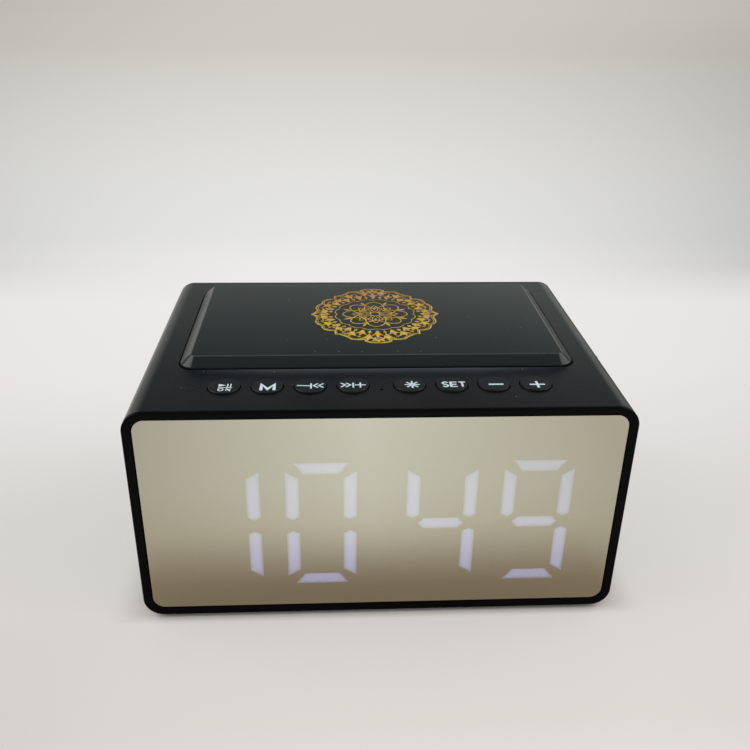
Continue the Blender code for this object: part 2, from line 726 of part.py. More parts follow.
def display_stack(mask_black, milky, board_green, receiver_black):
    """Everything that makes up the display behind the mirror."""
    display_mask(mask_black)
    half_width = DIGIT_WIDTH / 2 + DIFFUSER_MARGIN
    half_height = DIGIT_HEIGHT / 2 + DIFFUSER_MARGIN
    for number, x in enumerate(DIGIT_PLACES, start=1):
        name = f"digit_diffuser_{number}"
        diffuser(name, segment_outlines(), half_width, half_height, x, milky)
    half_height = COLON_SPREAD + COLON_DOT / 2 + DIFFUSER_MARGIN
    diffuser("colon_diffuser", colon_outlines(), COLON_HALF, half_height, 0, milky)

    board = bmesh.new()
    half_width = CASE_WIDTH / 2 - WALL - DISPLAY_BOARD_MARGIN
    half_height = DIGIT_HEIGHT / 2 + DIFFUSER_MARGIN + DISPLAY_BOARD_MARGIN
    low = (-half_width, FRONT_Y + DISPLAY_BOARD_FRONT, DIGIT_MIDDLE_Z - half_height)
    high = (half_width, FRONT_Y + DISPLAY_BOARD_BACK, DIGIT_MIDDLE_Z + half_height)
    add_box(board, low, high)
    make("display_board", board, board_green)

    receiver = bmesh.new()
    back = FRONT_Y + DISPLAY_BOARD_FRONT - FIT_GAP
    add_front_prism(receiver, receiver_outline(0), back - RECEIVER_DEPTH, back)
    make("remote_receiver", receiver, receiver_black)


def top_plate(material):
    """The raised plate with its chamfered rim, lying in the pocket on four pegs."""
    shape = bmesh.new()
    high = TOP_Z + PLATE_RISE
    profile = [
        (0, TOP_Z - POCKET_DEPTH + FIT_GAP),
        (0, TOP_Z + PLATE_FOOT),
        (PLATE_CHAMFER - PLATE_EDGE_ROUND, high - PLATE_EDGE_ROUND),
        (PLATE_CHAMFER + PLATE_EDGE_ROUND, high),
    ]
    add_loops(shape, [plate_loop(inset, z) for inset, z in profile])
    plate = make("top_plate", shape, material)
    pegs = bmesh.new()
    for x, y in peg_places():
        place = Matrix.Translation((x, y, 0))
        add_rod(pegs, PEG_RADIUS, TOP_Z - PEG_LENGTH, TOP_Z, SMALL_SIDES, place)
    combine(plate, pegs, "UNION")


def rounded_button(radius, top, flange_radius, flange, flange_low, stem_end, edge):
    """The profile of a push-button: rounded cap, retaining flange and stem."""
    corner = [math.radians(angle) for angle in (0, 45, 90)]
    rim = [(radius - edge + edge * math.sin(t), top - edge + edge * math.cos(t)) for t in corner]
    return [
        (0, top),
        *rim,
        (radius, flange),
        (flange_radius, flange),
        (flange_radius, flange_low),
        (KEY_STEM_RADIUS, flange_low),
        (KEY_STEM_RADIUS, stem_end),
        (0, stem_end),
    ]


def tactile_switch(place):
    """A square switch with a round plunger. Its underside is at the place's origin."""
    shape = bmesh.new()
    half = SWITCH_SIDE / 2
    square = [(-half, -half), (half, -half), (half, half), (-half, half)]
    levels = (0, SWITCH_THICK)
    add_loops(shape, [[place @ Vector((x, y, z)) for x, y in square] for z in levels])
    plunger = bmesh.new()
    high = SWITCH_THICK + PLUNGER
    add_rod(plunger, PLUNGER_RADIUS, SWITCH_THICK / 2, high, SMALL_SIDES, place)
    return shape, plunger


def keys(cap_black, board_green, switch_grey):
    """The eight keys with their switches, and the strip board that carries the switches."""
    profile = rounded_button(
        KEY_RADIUS,
        KEY_TOP_Z,
        KEY_FLANGE_RADIUS,
        KEY_FLANGE_TOP_Z,
        KEY_FLANGE_LOW_Z,
        KEY_STEM_Z,
        KEY_ROUND,
    )
    origins = [(x, KEY_Y, TOP_Z) for x in KEY_PLACES]
    shape = bmesh.new()
    place = Matrix.Translation((KEY_PLACES[0], KEY_Y, 0))
    add_turned(shape, profile, KEY_SIDES, place)
    copies(make("key_cap_1", shape, cap_black, origins[0]), "key_cap", origins[1:])

    for number, x in enumerate(KEY_PLACES, start=1):
        place = Matrix.Translation((x, KEY_Y, SWITCH_LOW_Z))
        case, plunger = tactile_switch(place)
        combine(make(f"key_switch_{number}", case, switch_grey), plunger, "UNION")

    board = bmesh.new()
    half_width = KEY_POST_X + KEY_BOARD_END
    low = (-half_width, KEY_Y - KEY_BOARD_WIDTH / 2, KEY_BOARD_LOW_Z)
    high = (half_width, KEY_Y + KEY_BOARD_WIDTH / 2, KEY_BOARD_TOP_Z)
    add_box(board, low, high)
    strip = make("key_board", board, board_green)
    holes = bmesh.new()
    for side in (-1, 1):
        place = Matrix.Translation((side * KEY_POST_X, KEY_Y, 0))
        low, high = KEY_BOARD_LOW_Z - OVERRUN, KEY_BOARD_TOP_Z + OVERRUN
        add_rod(holes, PIN_RADIUS + FIT_GAP, low, high, SMALL_SIDES, place)
    combine(strip, holes, "DIFFERENCE")


def microphone(material):
    """The microphone capsule under its hole."""
    shape = bmesh.new()
    place = Matrix.Translation((0, FRONT_Y + MIC_SETBACK, 0))
    high = INNER_TOP_Z - FIT_GAP
    add_rod(shape, MIC_RADIUS, high - MIC_THICK, high, SMALL_SIDES, place)
    make("microphone", shape, material)


def side_button(cap_black, board_green, switch_grey):
    """The round button in the right wall, its switch and the small board behind it."""
    profile = rounded_button(
        SIDE_BUTTON_RADIUS,
        CASE_WIDTH / 2 + SIDE_BUTTON_PROUD,
        SIDE_FLANGE_RADIUS,
        SIDE_FLANGE_X,
        SIDE_FLANGE_LOW_X,
        SIDE_STEM_X,
        SIDE_BUTTON_ROUND,
    )
    shape = bmesh.new()
    place = Matrix.Translation((0, SIDE_Y, SIDE_Z)) @ ALONG_X
    add_turned(shape, profile, KEY_SIDES, place)
    make("power_button", shape, cap_black, (CASE_WIDTH / 2, SIDE_Y, SIDE_Z))

    place = Matrix.Translation((SIDE_SWITCH_X - SWITCH_THICK, SIDE_Y, SIDE_Z)) @ ALONG_X
    case, plunger = tactile_switch(place)
    combine(make("power_switch", case, switch_grey), plunger, "UNION")

    board = bmesh.new()
    half_length, half_width = SIDE_BOARD_LENGTH / 2, SIDE_BOARD_WIDTH / 2
    low = (SIDE_BOARD_X - BOARD_THICK, SIDE_Y - half_length, SIDE_Z - half_width)
    high = (SIDE_BOARD_X, SIDE_Y + half_length, SIDE_Z + half_width)
    add_box(board, low, high)
    carrier = make("power_board", board, board_green)
    holes = bmesh.new()
    for y in side_post_places():
        place = Matrix.Translation((0, y, SIDE_Z)) @ ALONG_X
        low, high = SIDE_BOARD_X - BOARD_THICK - OVERRUN, SIDE_BOARD_X + OVERRUN
        add_rod(holes, PIN_RADIUS + FIT_GAP, low, high, SMALL_SIDES, place)
    combine(carrier, holes, "DIFFERENCE")


def aux_place():
    """The axis of the sound input's bore."""
    return Matrix.Translation((AUX_OFFSET, 0, SOCKET_LOW_Z + AUX_HEIGHT / 2)) @ ALONG_Y


def grille_slots(shape, centre_x):
    """Upright slots with round ends, shortened towards the rim of the speaker."""
    round_half = SLOT_WIDTH / 2
    for number in range(-SLOTS_EACH_SIDE, SLOTS_EACH_SIDE + 1):
        x = centre_x + number * SLOT_PITCH
        straight = math.sqrt(GRILLE_RADIUS**2 - (x - centre_x) ** 2) - round_half
        outline = []
        for end in (1, -1):
            for step in range(SLOT_STEPS + 1):
                turn = math.pi * step / SLOT_STEPS
                across = end * round_half * math.cos(turn)
                along = end * (straight + round_half * math.sin(turn))
                outline.append((x + across, SPEAKER_Z + along))
        add_front_prism(shape, outline, COVER_FRONT_Y - OVERRUN, BACK_Y + OVERRUN)


def rear_cover(material):
    """The back wall: grilles, collars round the speakers, and holes for sockets and screws."""
    shape = bmesh.new()
    depths = (COVER_FRONT_Y - FRONT_Y, COVER_BACK_Y - FRONT_Y)
    add_loops(shape, [casing_loop(BACK_LIP + FIT_GAP, depth) for depth in depths])
    cover = make("rear_cover", shape, material)

    collars = bmesh.new()
    inner, outer = COLLAR_RADIUS - COLLAR_THICK, COLLAR_RADIUS
    high = COVER_FRONT_Y + BITE
    low = COVER_FRONT_Y - COLLAR_HEIGHT
    for side in (-1, 1):
        place = Matrix.Translation((side * SPEAKER_OFFSET, 0, SPEAKER_Z)) @ ALONG_Y
        ring = [(inner, low), (outer, low), (outer, high), (inner, high)]
        add_turned(collars, ring, SPEAKER_SIDES, place)
    combine(cover, collars, "UNION")

    holes = bmesh.new()
    for side in (-1, 1):
        grille_slots(holes, side * SPEAKER_OFFSET)
    mouths = [
        (USB_OFFSET, USB_WIDTH, 0, USB_HEIGHT),
        (CARD_OFFSET, CARD_SLOT_WIDTH, (CARD_HEIGHT - CARD_SLOT_HEIGHT) / 2, CARD_SLOT_HEIGHT),
    ]
    for x, width, rise, height in mouths:
        half = width / 2 + PORT_MARGIN
        base = SOCKET_LOW_Z + rise
        low = (x - half, COVER_FRONT_Y - OVERRUN, base - PORT_MARGIN)
        high = (x + half, BACK_Y + OVERRUN, base + height + PORT_MARGIN)
        add_box(holes, low, high)
    low, high = COVER_FRONT_Y - OVERRUN, BACK_Y + OVERRUN
    add_rod(holes, AUX_COLLAR + FIT_GAP, low, high, KEY_SIDES, aux_place())
    sink = COVER_BACK_Y - SCREW_SINK - SCREW_HEAD - FIT_GAP
    for x, z in SCREW_PLACES:
        place = Matrix.Translation((x, 0, z)) @ ALONG_Y
        profile = [
            (0, COVER_FRONT_Y - OVERRUN),
            (SCREW_RADIUS + FIT_GAP, COVER_FRONT_Y - OVERRUN),
            (SCREW_RADIUS + FIT_GAP, sink),
            (SCREW_HEAD_RADIUS + FIT_GAP, sink),
            (SCREW_HEAD_RADIUS + FIT_GAP, BACK_Y + OVERRUN),
            (0, BACK_Y + OVERRUN),
        ]
        add_turned(holes, profile, SMALL_SIDES, place)
    combine(cover, holes, "DIFFERENCE")


def rear_screws(material):
    """The four screws that hold the rear cover."""
    head_back = COVER_BACK_Y - SCREW_SINK
    head_front = head_back - SCREW_HEAD
    profile = [
        (0, COVER_BACK_Y - SCREW_LENGTH),
        (SCREW_RADIUS, COVER_BACK_Y - SCREW_LENGTH + SCREW_RADIUS),
        (SCREW_RADIUS, head_front),
        (SCREW_HEAD_RADIUS, head_front),
        (SCREW_HEAD_RADIUS, head_back - EDGE_BREAK),
        (SCREW_HEAD_RADIUS - EDGE_BREAK, head_back),
        (0, head_back),
    ]
    for number, (x, z) in enumerate(SCREW_PLACES, start=1):
        shape = bmesh.new()
        add_turned(shape, profile, SMALL_SIDES, Matrix.Translation((x, 0, z)) @ ALONG_Y)
        screw = make(f"rear_screw_{number}", shape, material, (x, COVER_BACK_Y, z))
        cross = bmesh.new()
        arm, half = SCREW_HEAD_RADIUS - SCREW_SLOT_INSET, SCREW_SLOT_WIDTH / 2
        plus = [(half, half), (half, arm), (-half, arm), (-half, half), (-arm, half), (-arm, -half)]
        plus += [(-u, -v) for u, v in plus]
        outline = [(x + u, z + v) for u, v in plus]
        add_front_prism(cross, outline, head_back - SCREW_SLOT_DEPTH, head_back + OVERRUN)
        combine(screw, cross, "DIFFERENCE")


def speaker(name, x, steel, magnet_grey, paper, rubber):
    """One loudspeaker: frame, magnet, cone and surround, facing backwards through its grille."""
    axis = bpy.data.objects.new(f"{name}_axis", None)
    axis.location = (x, SPEAKER_Y, SPEAKER_Z)
    axis.rotation_euler = ALONG_Y.to_euler()
    bpy.context.scene.collection.objects.link(axis)
    basket_end = BASKET_DEPTH - BASKET_WALL
    profiles = {
        "frame": (steel, [
            (SPEAKER_RADIUS, 0),
            (SPEAKER_RADIUS, SPEAKER_FLANGE),
            (SPEAKER_MOUTH + BASKET_WALL, SPEAKER_FLANGE),
            (BASKET_RADIUS, BASKET_DEPTH),
            (POLE_HOLE, BASKET_DEPTH),
            (POLE_HOLE, basket_end),
            (BASKET_RADIUS - BASKET_WALL, basket_end),
            (SPEAKER_MOUTH, SPEAKER_FLANGE),
            (SPEAKER_MOUTH, 0),
        ]),
        "magnet": (magnet_grey, [
            (0, POLE_DEPTH),
            (POLE_RADIUS, POLE_DEPTH),
            (POLE_RADIUS, BASKET_DEPTH + FIT_GAP),
            (MAGNET_RADIUS, BASKET_DEPTH + FIT_GAP),
            (MAGNET_RADIUS, BASKET_DEPTH + FIT_GAP + MAGNET_THICK),
            (0, BASKET_DEPTH + FIT_GAP + MAGNET_THICK),
        ]),
        "cone": (paper, [
            (0, CAP_DEPTH),
            (CAP_RADIUS / 2, CAP_DEPTH + CONE_WALL),
            (CAP_RADIUS, CONE_DEPTH),
            (CONE_RADIUS, CONE_FRONT),
            (CONE_RADIUS, CONE_FRONT + CONE_WALL),
            (CAP_RADIUS, CONE_DEPTH + CONE_WALL),
            (COIL_RADIUS, CONE_DEPTH + CONE_WALL),
            (COIL_RADIUS, COIL_END),
            (COIL_RADIUS - COIL_WALL, COIL_END),
            (COIL_RADIUS - COIL_WALL, CONE_DEPTH),
            (0, CAP_DEPTH + CONE_WALL),
        ]),
        "surround": (rubber, surround_profile()),
    }
    for piece, (material, profile) in profiles.items():
        shape = bmesh.new()
        add_turned(shape, [(radius, -depth) for radius, depth in profile], SPEAKER_SIDES)
        made = make(f"{name}_{piece}", shape, material)
        made.parent = axis


def surround_profile():
    """The rubber half-roll between cone and frame, in section."""
    inner = CONE_RADIUS + SURROUND_GAP
    outer = SPEAKER_MOUTH - SURROUND_GAP
    middle, half = (inner + outer) / 2, (outer - inner) / 2
    skins = [
        (half, SURROUND_RISE + SURROUND_THICK, (0, 45, 90, 135, 180)),
        (half - SURROUND_THICK, SURROUND_RISE, (180, 90, 0)),
    ]
    points = []
    for reach, rise, angles in skins:
        for turn in map(math.radians, angles):
            x = middle + reach * math.cos(turn)
            points.append((x, SPEAKER_FLANGE - rise * math.sin(turn)))
    return points


def main_board(board_green):
    """The main circuit board on its four posts."""
    shape = bmesh.new()
    half = MAIN_BOARD_WIDTH / 2
    low = (-half, MAIN_BOARD_FRONT_Y, MAIN_BOARD_LOW_Z)
    high = (half, MAIN_BOARD_BACK_Y, MAIN_BOARD_TOP_Z)
    add_box(shape, low, high)
    board = make("main_board", shape, board_green)
    holes = bmesh.new()
    for x, y in main_post_places():
        place = Matrix.Translation((x, y, 0))
        low, high = MAIN_BOARD_LOW_Z - OVERRUN, MAIN_BOARD_TOP_Z + OVERRUN
        add_rod(holes, PIN_RADIUS + FIT_GAP, low, high, SMALL_SIDES, place)
    combine(board, holes, "DIFFERENCE")


def sockets(steel, black):
    """The power socket, the card slot and the sound input, with their mouths to the back."""
    back, base = SOCKET_BACK_Y, SOCKET_LOW_Z

    usb = bmesh.new()
    half = USB_WIDTH / 2
    low = (USB_OFFSET - half, back - USB_LENGTH, base)
    add_box(usb, low, (USB_OFFSET + half, back, base + USB_HEIGHT))
    usb_socket = make("usb_socket", usb, steel)
    mouth = bmesh.new()
    middle = base + USB_HEIGHT / 2
    inner_left, inner_right = USB_OFFSET - half + SHEET, USB_OFFSET + half - SHEET
    tongue_low, tongue_high = middle - USB_TONGUE / 2, middle + USB_TONGUE / 2
    front = back - USB_LENGTH + SHEET
    add_box(mouth, (inner_left, front, base + SHEET), (inner_right, back + OVERRUN, tongue_low))
    top = base + USB_HEIGHT - SHEET
    add_box(mouth, (inner_left, front, tongue_high), (inner_right, back + OVERRUN, top))
    combine(usb_socket, mouth, "DIFFERENCE")

    card = bmesh.new()
    half = CARD_WIDTH / 2
    low = (CARD_OFFSET - half, back - CARD_LENGTH, base)
    add_box(card, low, (CARD_OFFSET + half, back, base + CARD_HEIGHT))
    card_socket = make("card_socket", card, steel)
    slot = bmesh.new()
    half = CARD_SLOT_WIDTH / 2
    low_z = base + (CARD_HEIGHT - CARD_SLOT_HEIGHT) / 2
    low = (CARD_OFFSET - half, back - CARD_LENGTH + SHEET, low_z)
    add_box(slot, low, (CARD_OFFSET + half, back + OVERRUN, low_z + CARD_SLOT_HEIGHT))
    combine(card_socket, slot, "DIFFERENCE")

    aux = bmesh.new()
    half = AUX_WIDTH / 2
    low = (AUX_OFFSET - half, back - AUX_LENGTH, base)
    add_box(aux, low, (AUX_OFFSET + half, back, base + AUX_HEIGHT))
    aux_socket = make("aux_socket", aux, black)
    collar = bmesh.new()
    end = back + AUX_COLLAR_LENGTH
    add_rod(collar, AUX_COLLAR, back - BITE, end, KEY_SIDES, aux_place())
    combine(aux_socket, collar, "UNION")
    bore = bmesh.new()
    add_rod(bore, AUX_BORE, end - AUX_BORE_DEPTH, end + OVERRUN, SMALL_SIDES, aux_place())
    combine(aux_socket, bore, "DIFFERENCE")


def battery(cell_blue, black):
    """The round cell and the holder that it lies in, along the front of the floor."""
    shape = bmesh.new()
    place = Matrix.Translation((0, BATTERY_Y, BATTERY_Z)) @ ALONG_X
    half = BATTERY_LENGTH / 2
    profile = [
        (0, -half),
        (BATTERY_RADIUS, -half),
        (BATTERY_RADIUS, half),
        (BUTTON_CELL_RADIUS, half),
        (BUTTON_CELL_RADIUS, half + BUTTON_CELL_LENGTH),
        (0, half + BUTTON_CELL_LENGTH),
    ]
    add_turned(shape, profile, SPEAKER_SIDES, place)
    make("battery", shape, cell_blue)

    shape = bmesh.new()
    inside = BATTERY_RADIUS + FIT_GAP
    half_length = half + BUTTON_CELL_LENGTH + FIT_GAP + HOLDER_WALL
    half_width = inside + HOLDER_WALL
    low = (-half_length, BATTERY_Y - half_width, HOLDER_LOW_Z)
    high = (half_length, BATTERY_Y + half_width, HOLDER_LOW_Z + HOLDER_HEIGHT)
    add_box(shape, low, high)
    holder = make("battery_holder", shape, black)
    trough = bmesh.new()
    reach = half_length - HOLDER_WALL
    add_rod(trough, inside, -reach, reach, SPEAKER_SIDES, place)
    combine(holder, trough, "DIFFERENCE")
    above = bmesh.new()
    low = (-reach, BATTERY_Y - inside * math.cos(math.pi / SPEAKER_SIDES), BATTERY_Z)
    high = (reach, BATTERY_Y + inside * math.cos(math.pi / SPEAKER_SIDES), BATTERY_Z + inside)
    add_box(above, low, high)
    combine(holder, above, "DIFFERENCE")


def feet(rubber):
    """Four rubber feet, each in a shallow recess under the casing."""
    high = BASE_Z + FOOT_RECESS - FIT_GAP
    profile = [
        (0, 0),
        (FOOT_RADIUS - FOOT_ROUND, 0),
        (FOOT_RADIUS, FOOT_ROUND),
        (FOOT_RADIUS, high),
        (0, high),
    ]
    places = [(x, y, 0) for x, y in foot_places()]
    shape = bmesh.new()
    add_turned(shape, profile, SMALL_SIDES, Matrix.Translation(places[0]))
    copies(make("foot_1", shape, rubber, places[0]), "foot", places[1:])


def build():
    """Clears the scene and makes every piece of the clock."""
    for old in list(bpy.data.objects):
        bpy.data.objects.remove(old)
    casing_black = finish("casing_black", "26292B", 0.38)
    plate_black = finish("plate_black", "2B3032", 0.34)
    bezel_black = finish("bezel_black", "0E1011", 0.3)
    mirror_tint = finish("mirror_tint", "BDB9A3", 0.06, 1)
    matt_black = finish("matt_black", "0A0A0B", 0.7)
    milky = finish("milky_diffuser", "DADAE4", 0.5)
    board_green = finish("board_green", "1F5A3A", 0.5)
    key_black = finish("key_black", "1E2123", 0.4)
    switch_grey = finish("switch_grey", "3A3A3C", 0.5)
    bright_steel = finish("bright_steel", "B8BABC", 0.3, 1)
    dark_steel = finish("dark_steel", "4A4C4F", 0.45, 1)
    ferrite = finish("ferrite", "2E2E30", 0.6)
    cone_paper = finish("cone_paper", "1A1A1B", 0.85)
    rubber = finish("rubber_black", "151515", 0.8)
    cell_blue = finish("cell_sleeve", "2D5B8C", 0.4)

    body_shell(casing_black)
    front_bezel(bezel_black)
    mirror_panel(mirror_tint)
    display_stack(matt_black, milky, board_green, matt_black)
    top_plate(plate_black)
    keys(key_black, board_green, switch_grey)
    microphone(bright_steel)
    side_button(key_black, board_green, switch_grey)
    rear_cover(casing_black)
    rear_screws(dark_steel)
    for name, side in (("speaker_left", -1), ("speaker_right", 1)):
        speaker(name, side * SPEAKER_OFFSET, dark_steel, ferrite, cone_paper, rubber)
    main_board(board_green)
    sockets(bright_steel, matt_black)
    battery(cell_blue, matt_black)
    feet(rubber)


build()
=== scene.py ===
"""Looks of a table-top prayer clock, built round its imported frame.

The clock stands on Z = 0 and its display looks towards -Y. Lengths are in metres. Pieces are
placed from the boxes of the frame's nodes, with the few sizes below that a box doesn't give.
"""

import math
from functools import partial

import bmesh
import bpy
from bpy.props import FloatProperty, FloatVectorProperty, PointerProperty
from bpy.types import Operator, Panel, PropertyGroup
from mathutils import Matrix, Vector


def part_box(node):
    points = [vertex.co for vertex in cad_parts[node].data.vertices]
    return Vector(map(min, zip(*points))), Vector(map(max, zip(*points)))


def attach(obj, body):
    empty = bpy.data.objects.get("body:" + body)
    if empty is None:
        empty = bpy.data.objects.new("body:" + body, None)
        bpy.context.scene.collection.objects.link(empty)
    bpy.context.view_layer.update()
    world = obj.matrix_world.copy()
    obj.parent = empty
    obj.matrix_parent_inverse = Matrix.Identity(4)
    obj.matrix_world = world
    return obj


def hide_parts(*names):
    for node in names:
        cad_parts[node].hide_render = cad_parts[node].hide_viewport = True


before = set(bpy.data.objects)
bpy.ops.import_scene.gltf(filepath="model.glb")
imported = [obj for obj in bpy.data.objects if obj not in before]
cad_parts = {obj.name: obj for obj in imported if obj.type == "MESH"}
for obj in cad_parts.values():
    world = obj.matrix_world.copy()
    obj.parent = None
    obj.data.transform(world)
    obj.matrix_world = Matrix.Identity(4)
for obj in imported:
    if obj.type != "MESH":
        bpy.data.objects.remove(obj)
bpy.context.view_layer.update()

bl_info = {
    "name": "Prayer clock looks",
    "version": (1, 0, 0),
    "blender": (4, 5, 0),
    "location": "3D View > Sidebar > Clock",
    "description": "Finishes, prints, lit digits and stage of a table-top prayer clock",
    "category": "Object",
}

MM = 0.001

# Sizes of the casing that its boxes don't give
CASE_CORNER = 6.0 * MM
WALL = 2.4 * MM
FRONT_LIP = 1.0 * MM
LIP_DEPTH = 7.0 * MM
BACK_LIP = 1.2 * MM
BORDER = 2.65 * MM
TOP_BORDER = 2.0 * MM
OPENING_CORNER = 4.0 * MM
LEDGE_WIDTH = 2.0 * MM
LEDGE_THICK = 1.4 * MM
FIT_GAP = 0.25 * MM
OVERRUN = 2.0 * MM

# Raised plate and its pocket
PLATE_CORNER = 5.0 * MM
PLATE_CHAMFER = 3.3 * MM
PLATE_RISE = 3.15 * MM
PLATE_FOOT = 0.45 * MM
# The small cut round its foot, as shares of the edge rounding
CUT_BELOW_SHARE, CUT_ABOVE_SHARE = 1 / 2, 1 / 3
GROOVE = 0.5 * MM
POCKET_DEPTH = 1.0 * MM
LIP_WIDTH = 2.6 * MM
LIP_HEIGHT = 0.22 * MM

# Dust on faces whose normal rises at least this steeply: specks, and a painted highlight band that fades
# from the plate
LEVEL_SINE = 0.9
DUST_SPACING = 9.0 * MM
SPECK_RADIUS = 0.13 * MM
SPECK_SHARE = 0.3
HIGHLIGHT_BAND_WIDTH = 6.0 * MM
HIGHLIGHT_BAND_STOP = 0.3 * MM
HIGHLIGHT_BAND_POWER = 1.7

# Patches of stronger and weaker sheen in a moulded surface, and the noise values that bound them
SHEEN_PATCH = 22.2 * MM
SHEEN_RANGE = (0.3, 0.7)
# The plate is the smoothest of the satin pieces
CASING_ROUGHNESS, PLATE_ROUGHNESS, KEY_ROUGHNESS = 0.27, 0.2, 0.34
BLACK = (0, 0, 0, 1)

# Keys, side button and microphone hole
KEY_RADIUS = 4.65 * MM
KEY_STEM_RADIUS = 1.5 * MM
KEY_FLANGE_THICK = 0.8 * MM
MIC_HOLE_RADIUS = 0.6 * MM
KEY_EDGE_STEPS = 5
WEDGE_TIP = 0.1 * MM
SIDE_BUTTON_RADIUS = 6.0 * MM
SIDE_FLANGE_PLACE = 1.2 * MM
SIDE_FLANGE_THICK = 1.0 * MM
SIDE_BUTTON_ROUND = 0.6 * MM
SIDE_BUTTON_DISH = 0.35 * MM
# The dish's shares of its radius and of its depth, from the middle outwards
DISH_SHARES = ((0, 1), (0.35, 0.9), (0.65, 0.45))

# Prints: layers that keep crossing lines apart, and the most that a mitred corner is widened
PRINT_LAYERS = 16
MITRE_LIMIT = 0.45

# Seven-segment figures
DIFFUSER_MARGIN = 1.6 * MM
DIFFUSER_THICK = 1.0 * MM
SEGMENT_WIDTH = 4.1 * MM
SEGMENT_OUTER_END = 2.9 * MM
SEGMENT_INNER_END = 5.4 * MM
SEGMENT_POINT = 1.1 * MM
WAIST = 1.85 * MM
BAR_OUTER_END = 2.3 * MM
BAR_INNER_END = 5.4 * MM
BAR_TIP = 3.5 * MM
BAR_SHOULDER = 5.5 * MM
COLON_DOT = 3.2 * MM
GLOW_FADE = 0.9 * MM
GLOW_EDGE_SHARE = 0.3
WINDOW_GAP = 0.05 * MM
# Heights between which the lamps' light falls off, and its shares there
GLOW_SLOPE = (20 * MM, 50 * MM, 1.3, 0.8)
# What the half-mirror's coating keeps back of the light behind it
COATING_SHARE = 0.84
# Lit segments of the four figures, lettered clockwise from the top, with g in the middle
FIGURES = ("bc", "abcdef", "bcfg", "abcdfg")

# Rear cover
COVER_THICK = 2.2 * MM
GRILLE_RADIUS = 18.5 * MM
SLOT_WIDTH = 1.6 * MM
SLOT_PITCH = 3.6 * MM
SLOTS_EACH_SIDE = 4
PORT_MARGIN = 0.6 * MM
CARD_SIDE_WALL = 1.3 * MM
CARD_SLOT_HEIGHT = 1.1 * MM
AUX_COLLAR = 2.8 * MM
SCREW_HEAD_RADIUS = 2.5 * MM
SCREW_RADIUS = 1.3 * MM
SCREW_HEAD = 1.3 * MM
SCREW_SINK = 0.2 * MM
SCREW_DOME_SHARES = (0.55, 0.25)
CROSS_ARM = 1.9 * MM
CROSS_WIDTH = 0.5 * MM
CROSS_DEPTH = 0.6 * MM

# Feet
FOOT_RADIUS = 5.0 * MM
FOOT_RECESS = 0.6 * MM
FOOT_ROUND = 0.4 * MM

# Speaker cones and their rubber surrounds
CONE_THICK = 0.6 * MM
CONE_DEPTH = 4.0 * MM
DUST_CAP_RADIUS = 6.0 * MM
DUST_CAP_RISE = 2.0 * MM
DUST_CAP_STEPS = 5
CONE_STEPS = 12
RIBS = 3
RIB_HEIGHT = 0.12 * MM
COIL_RADIUS = 5.2 * MM
COIL_THICK = 0.8 * MM
ROLL_WIDTH = 2.2 * MM
ROLL_THICK = 0.4 * MM
ROLL_STEPS = 8

# Smoothness
CORNER_STEPS = 14
SMALL_CORNER_STEPS = 6
EDGE_STEPS = 3
KEY_SIDES = 64
SMALL_SIDES = 32
SHARP_ANGLE = math.radians(32)
# What a round end's corners lack of its half width, so that no edge has no length
HAIR = 0.001 * MM

# Camera, fitted to the photograph
CAMERA_PLACE = Vector((-14.81, -256.89, 184.30)) * MM
CAMERA_PITCH = math.radians(26.11)
CAMERA_YAW = math.radians(3.357)
CAMERA_ROLL = math.radians(0.974)
SENSOR_WIDTH = 36.0
LENS = 39.82

SHELL_LOW, SHELL_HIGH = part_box("body_shell")
BEZEL_LOW, BEZEL_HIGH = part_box("front_bezel")
PANEL_LOW, PANEL_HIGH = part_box("mirror_panel")
PLATE_LOW, PLATE_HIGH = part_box("top_plate")
COVER_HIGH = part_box("rear_cover")[1]
TOP_Z = SHELL_HIGH.z
MIDDLE_Z = (SHELL_LOW.z + SHELL_HIGH.z) / 2
FRONT_Y = BEZEL_LOW.y
BACK_Y = SHELL_HIGH.y
# Turns of the Z axis onto each axis
ALONG = {
    "x": Matrix.Rotation(math.radians(90), 4, "Y"),
    "y": Matrix.Rotation(math.radians(-90), 4, "X"),
    "z": Matrix(),
}


def linear(hex_colour):
    """The linear colour of an sRGB hex value."""
    channels = [int(hex_colour[i : i + 2], 16) / 255 for i in (0, 2, 4)]
    spread = [c / 12.92 if c <= 0.04045 else ((c + 0.055) / 1.055) ** 2.4 for c in channels]
    return (*spread, 1)


def colour_setting(label, about, hex_colour):
    """A colour that the user can change."""
    return FloatVectorProperty(
        name=label, description=about, default=linear(hex_colour), subtype="COLOR", size=4, min=0, max=1
    )


def length_setting(label, about, metres):
    """A length that the user can change."""
    return FloatProperty(name=label, description=about, default=metres, min=0, unit="LENGTH", precision=6)


class ClockColours(PropertyGroup):
    """Colours of the clock's pieces and of its light."""

    casing: colour_setting("Casing", "Moulded sleeve and rear cover", "101316")
    plate: colour_setting("Plate", "Raised plate on the top", "131A1B")
    bezel: colour_setting("Front frame", "Frame round the display", "0A0A0B")
    keys: colour_setting("Keys", "Push-buttons", "101518")
    key_ink: colour_setting("Key marks", "Pad print on the keys", "D2E6EC")
    gold: colour_setting("Ornament", "Gold print on the raised plate", "F0CE42")
    mirror: colour_setting("Mirror tint", "Half-mirror coating of the display", "E7E4D0")
    glow: colour_setting("Digits", "Light of the lit segments", "A8B6FF")


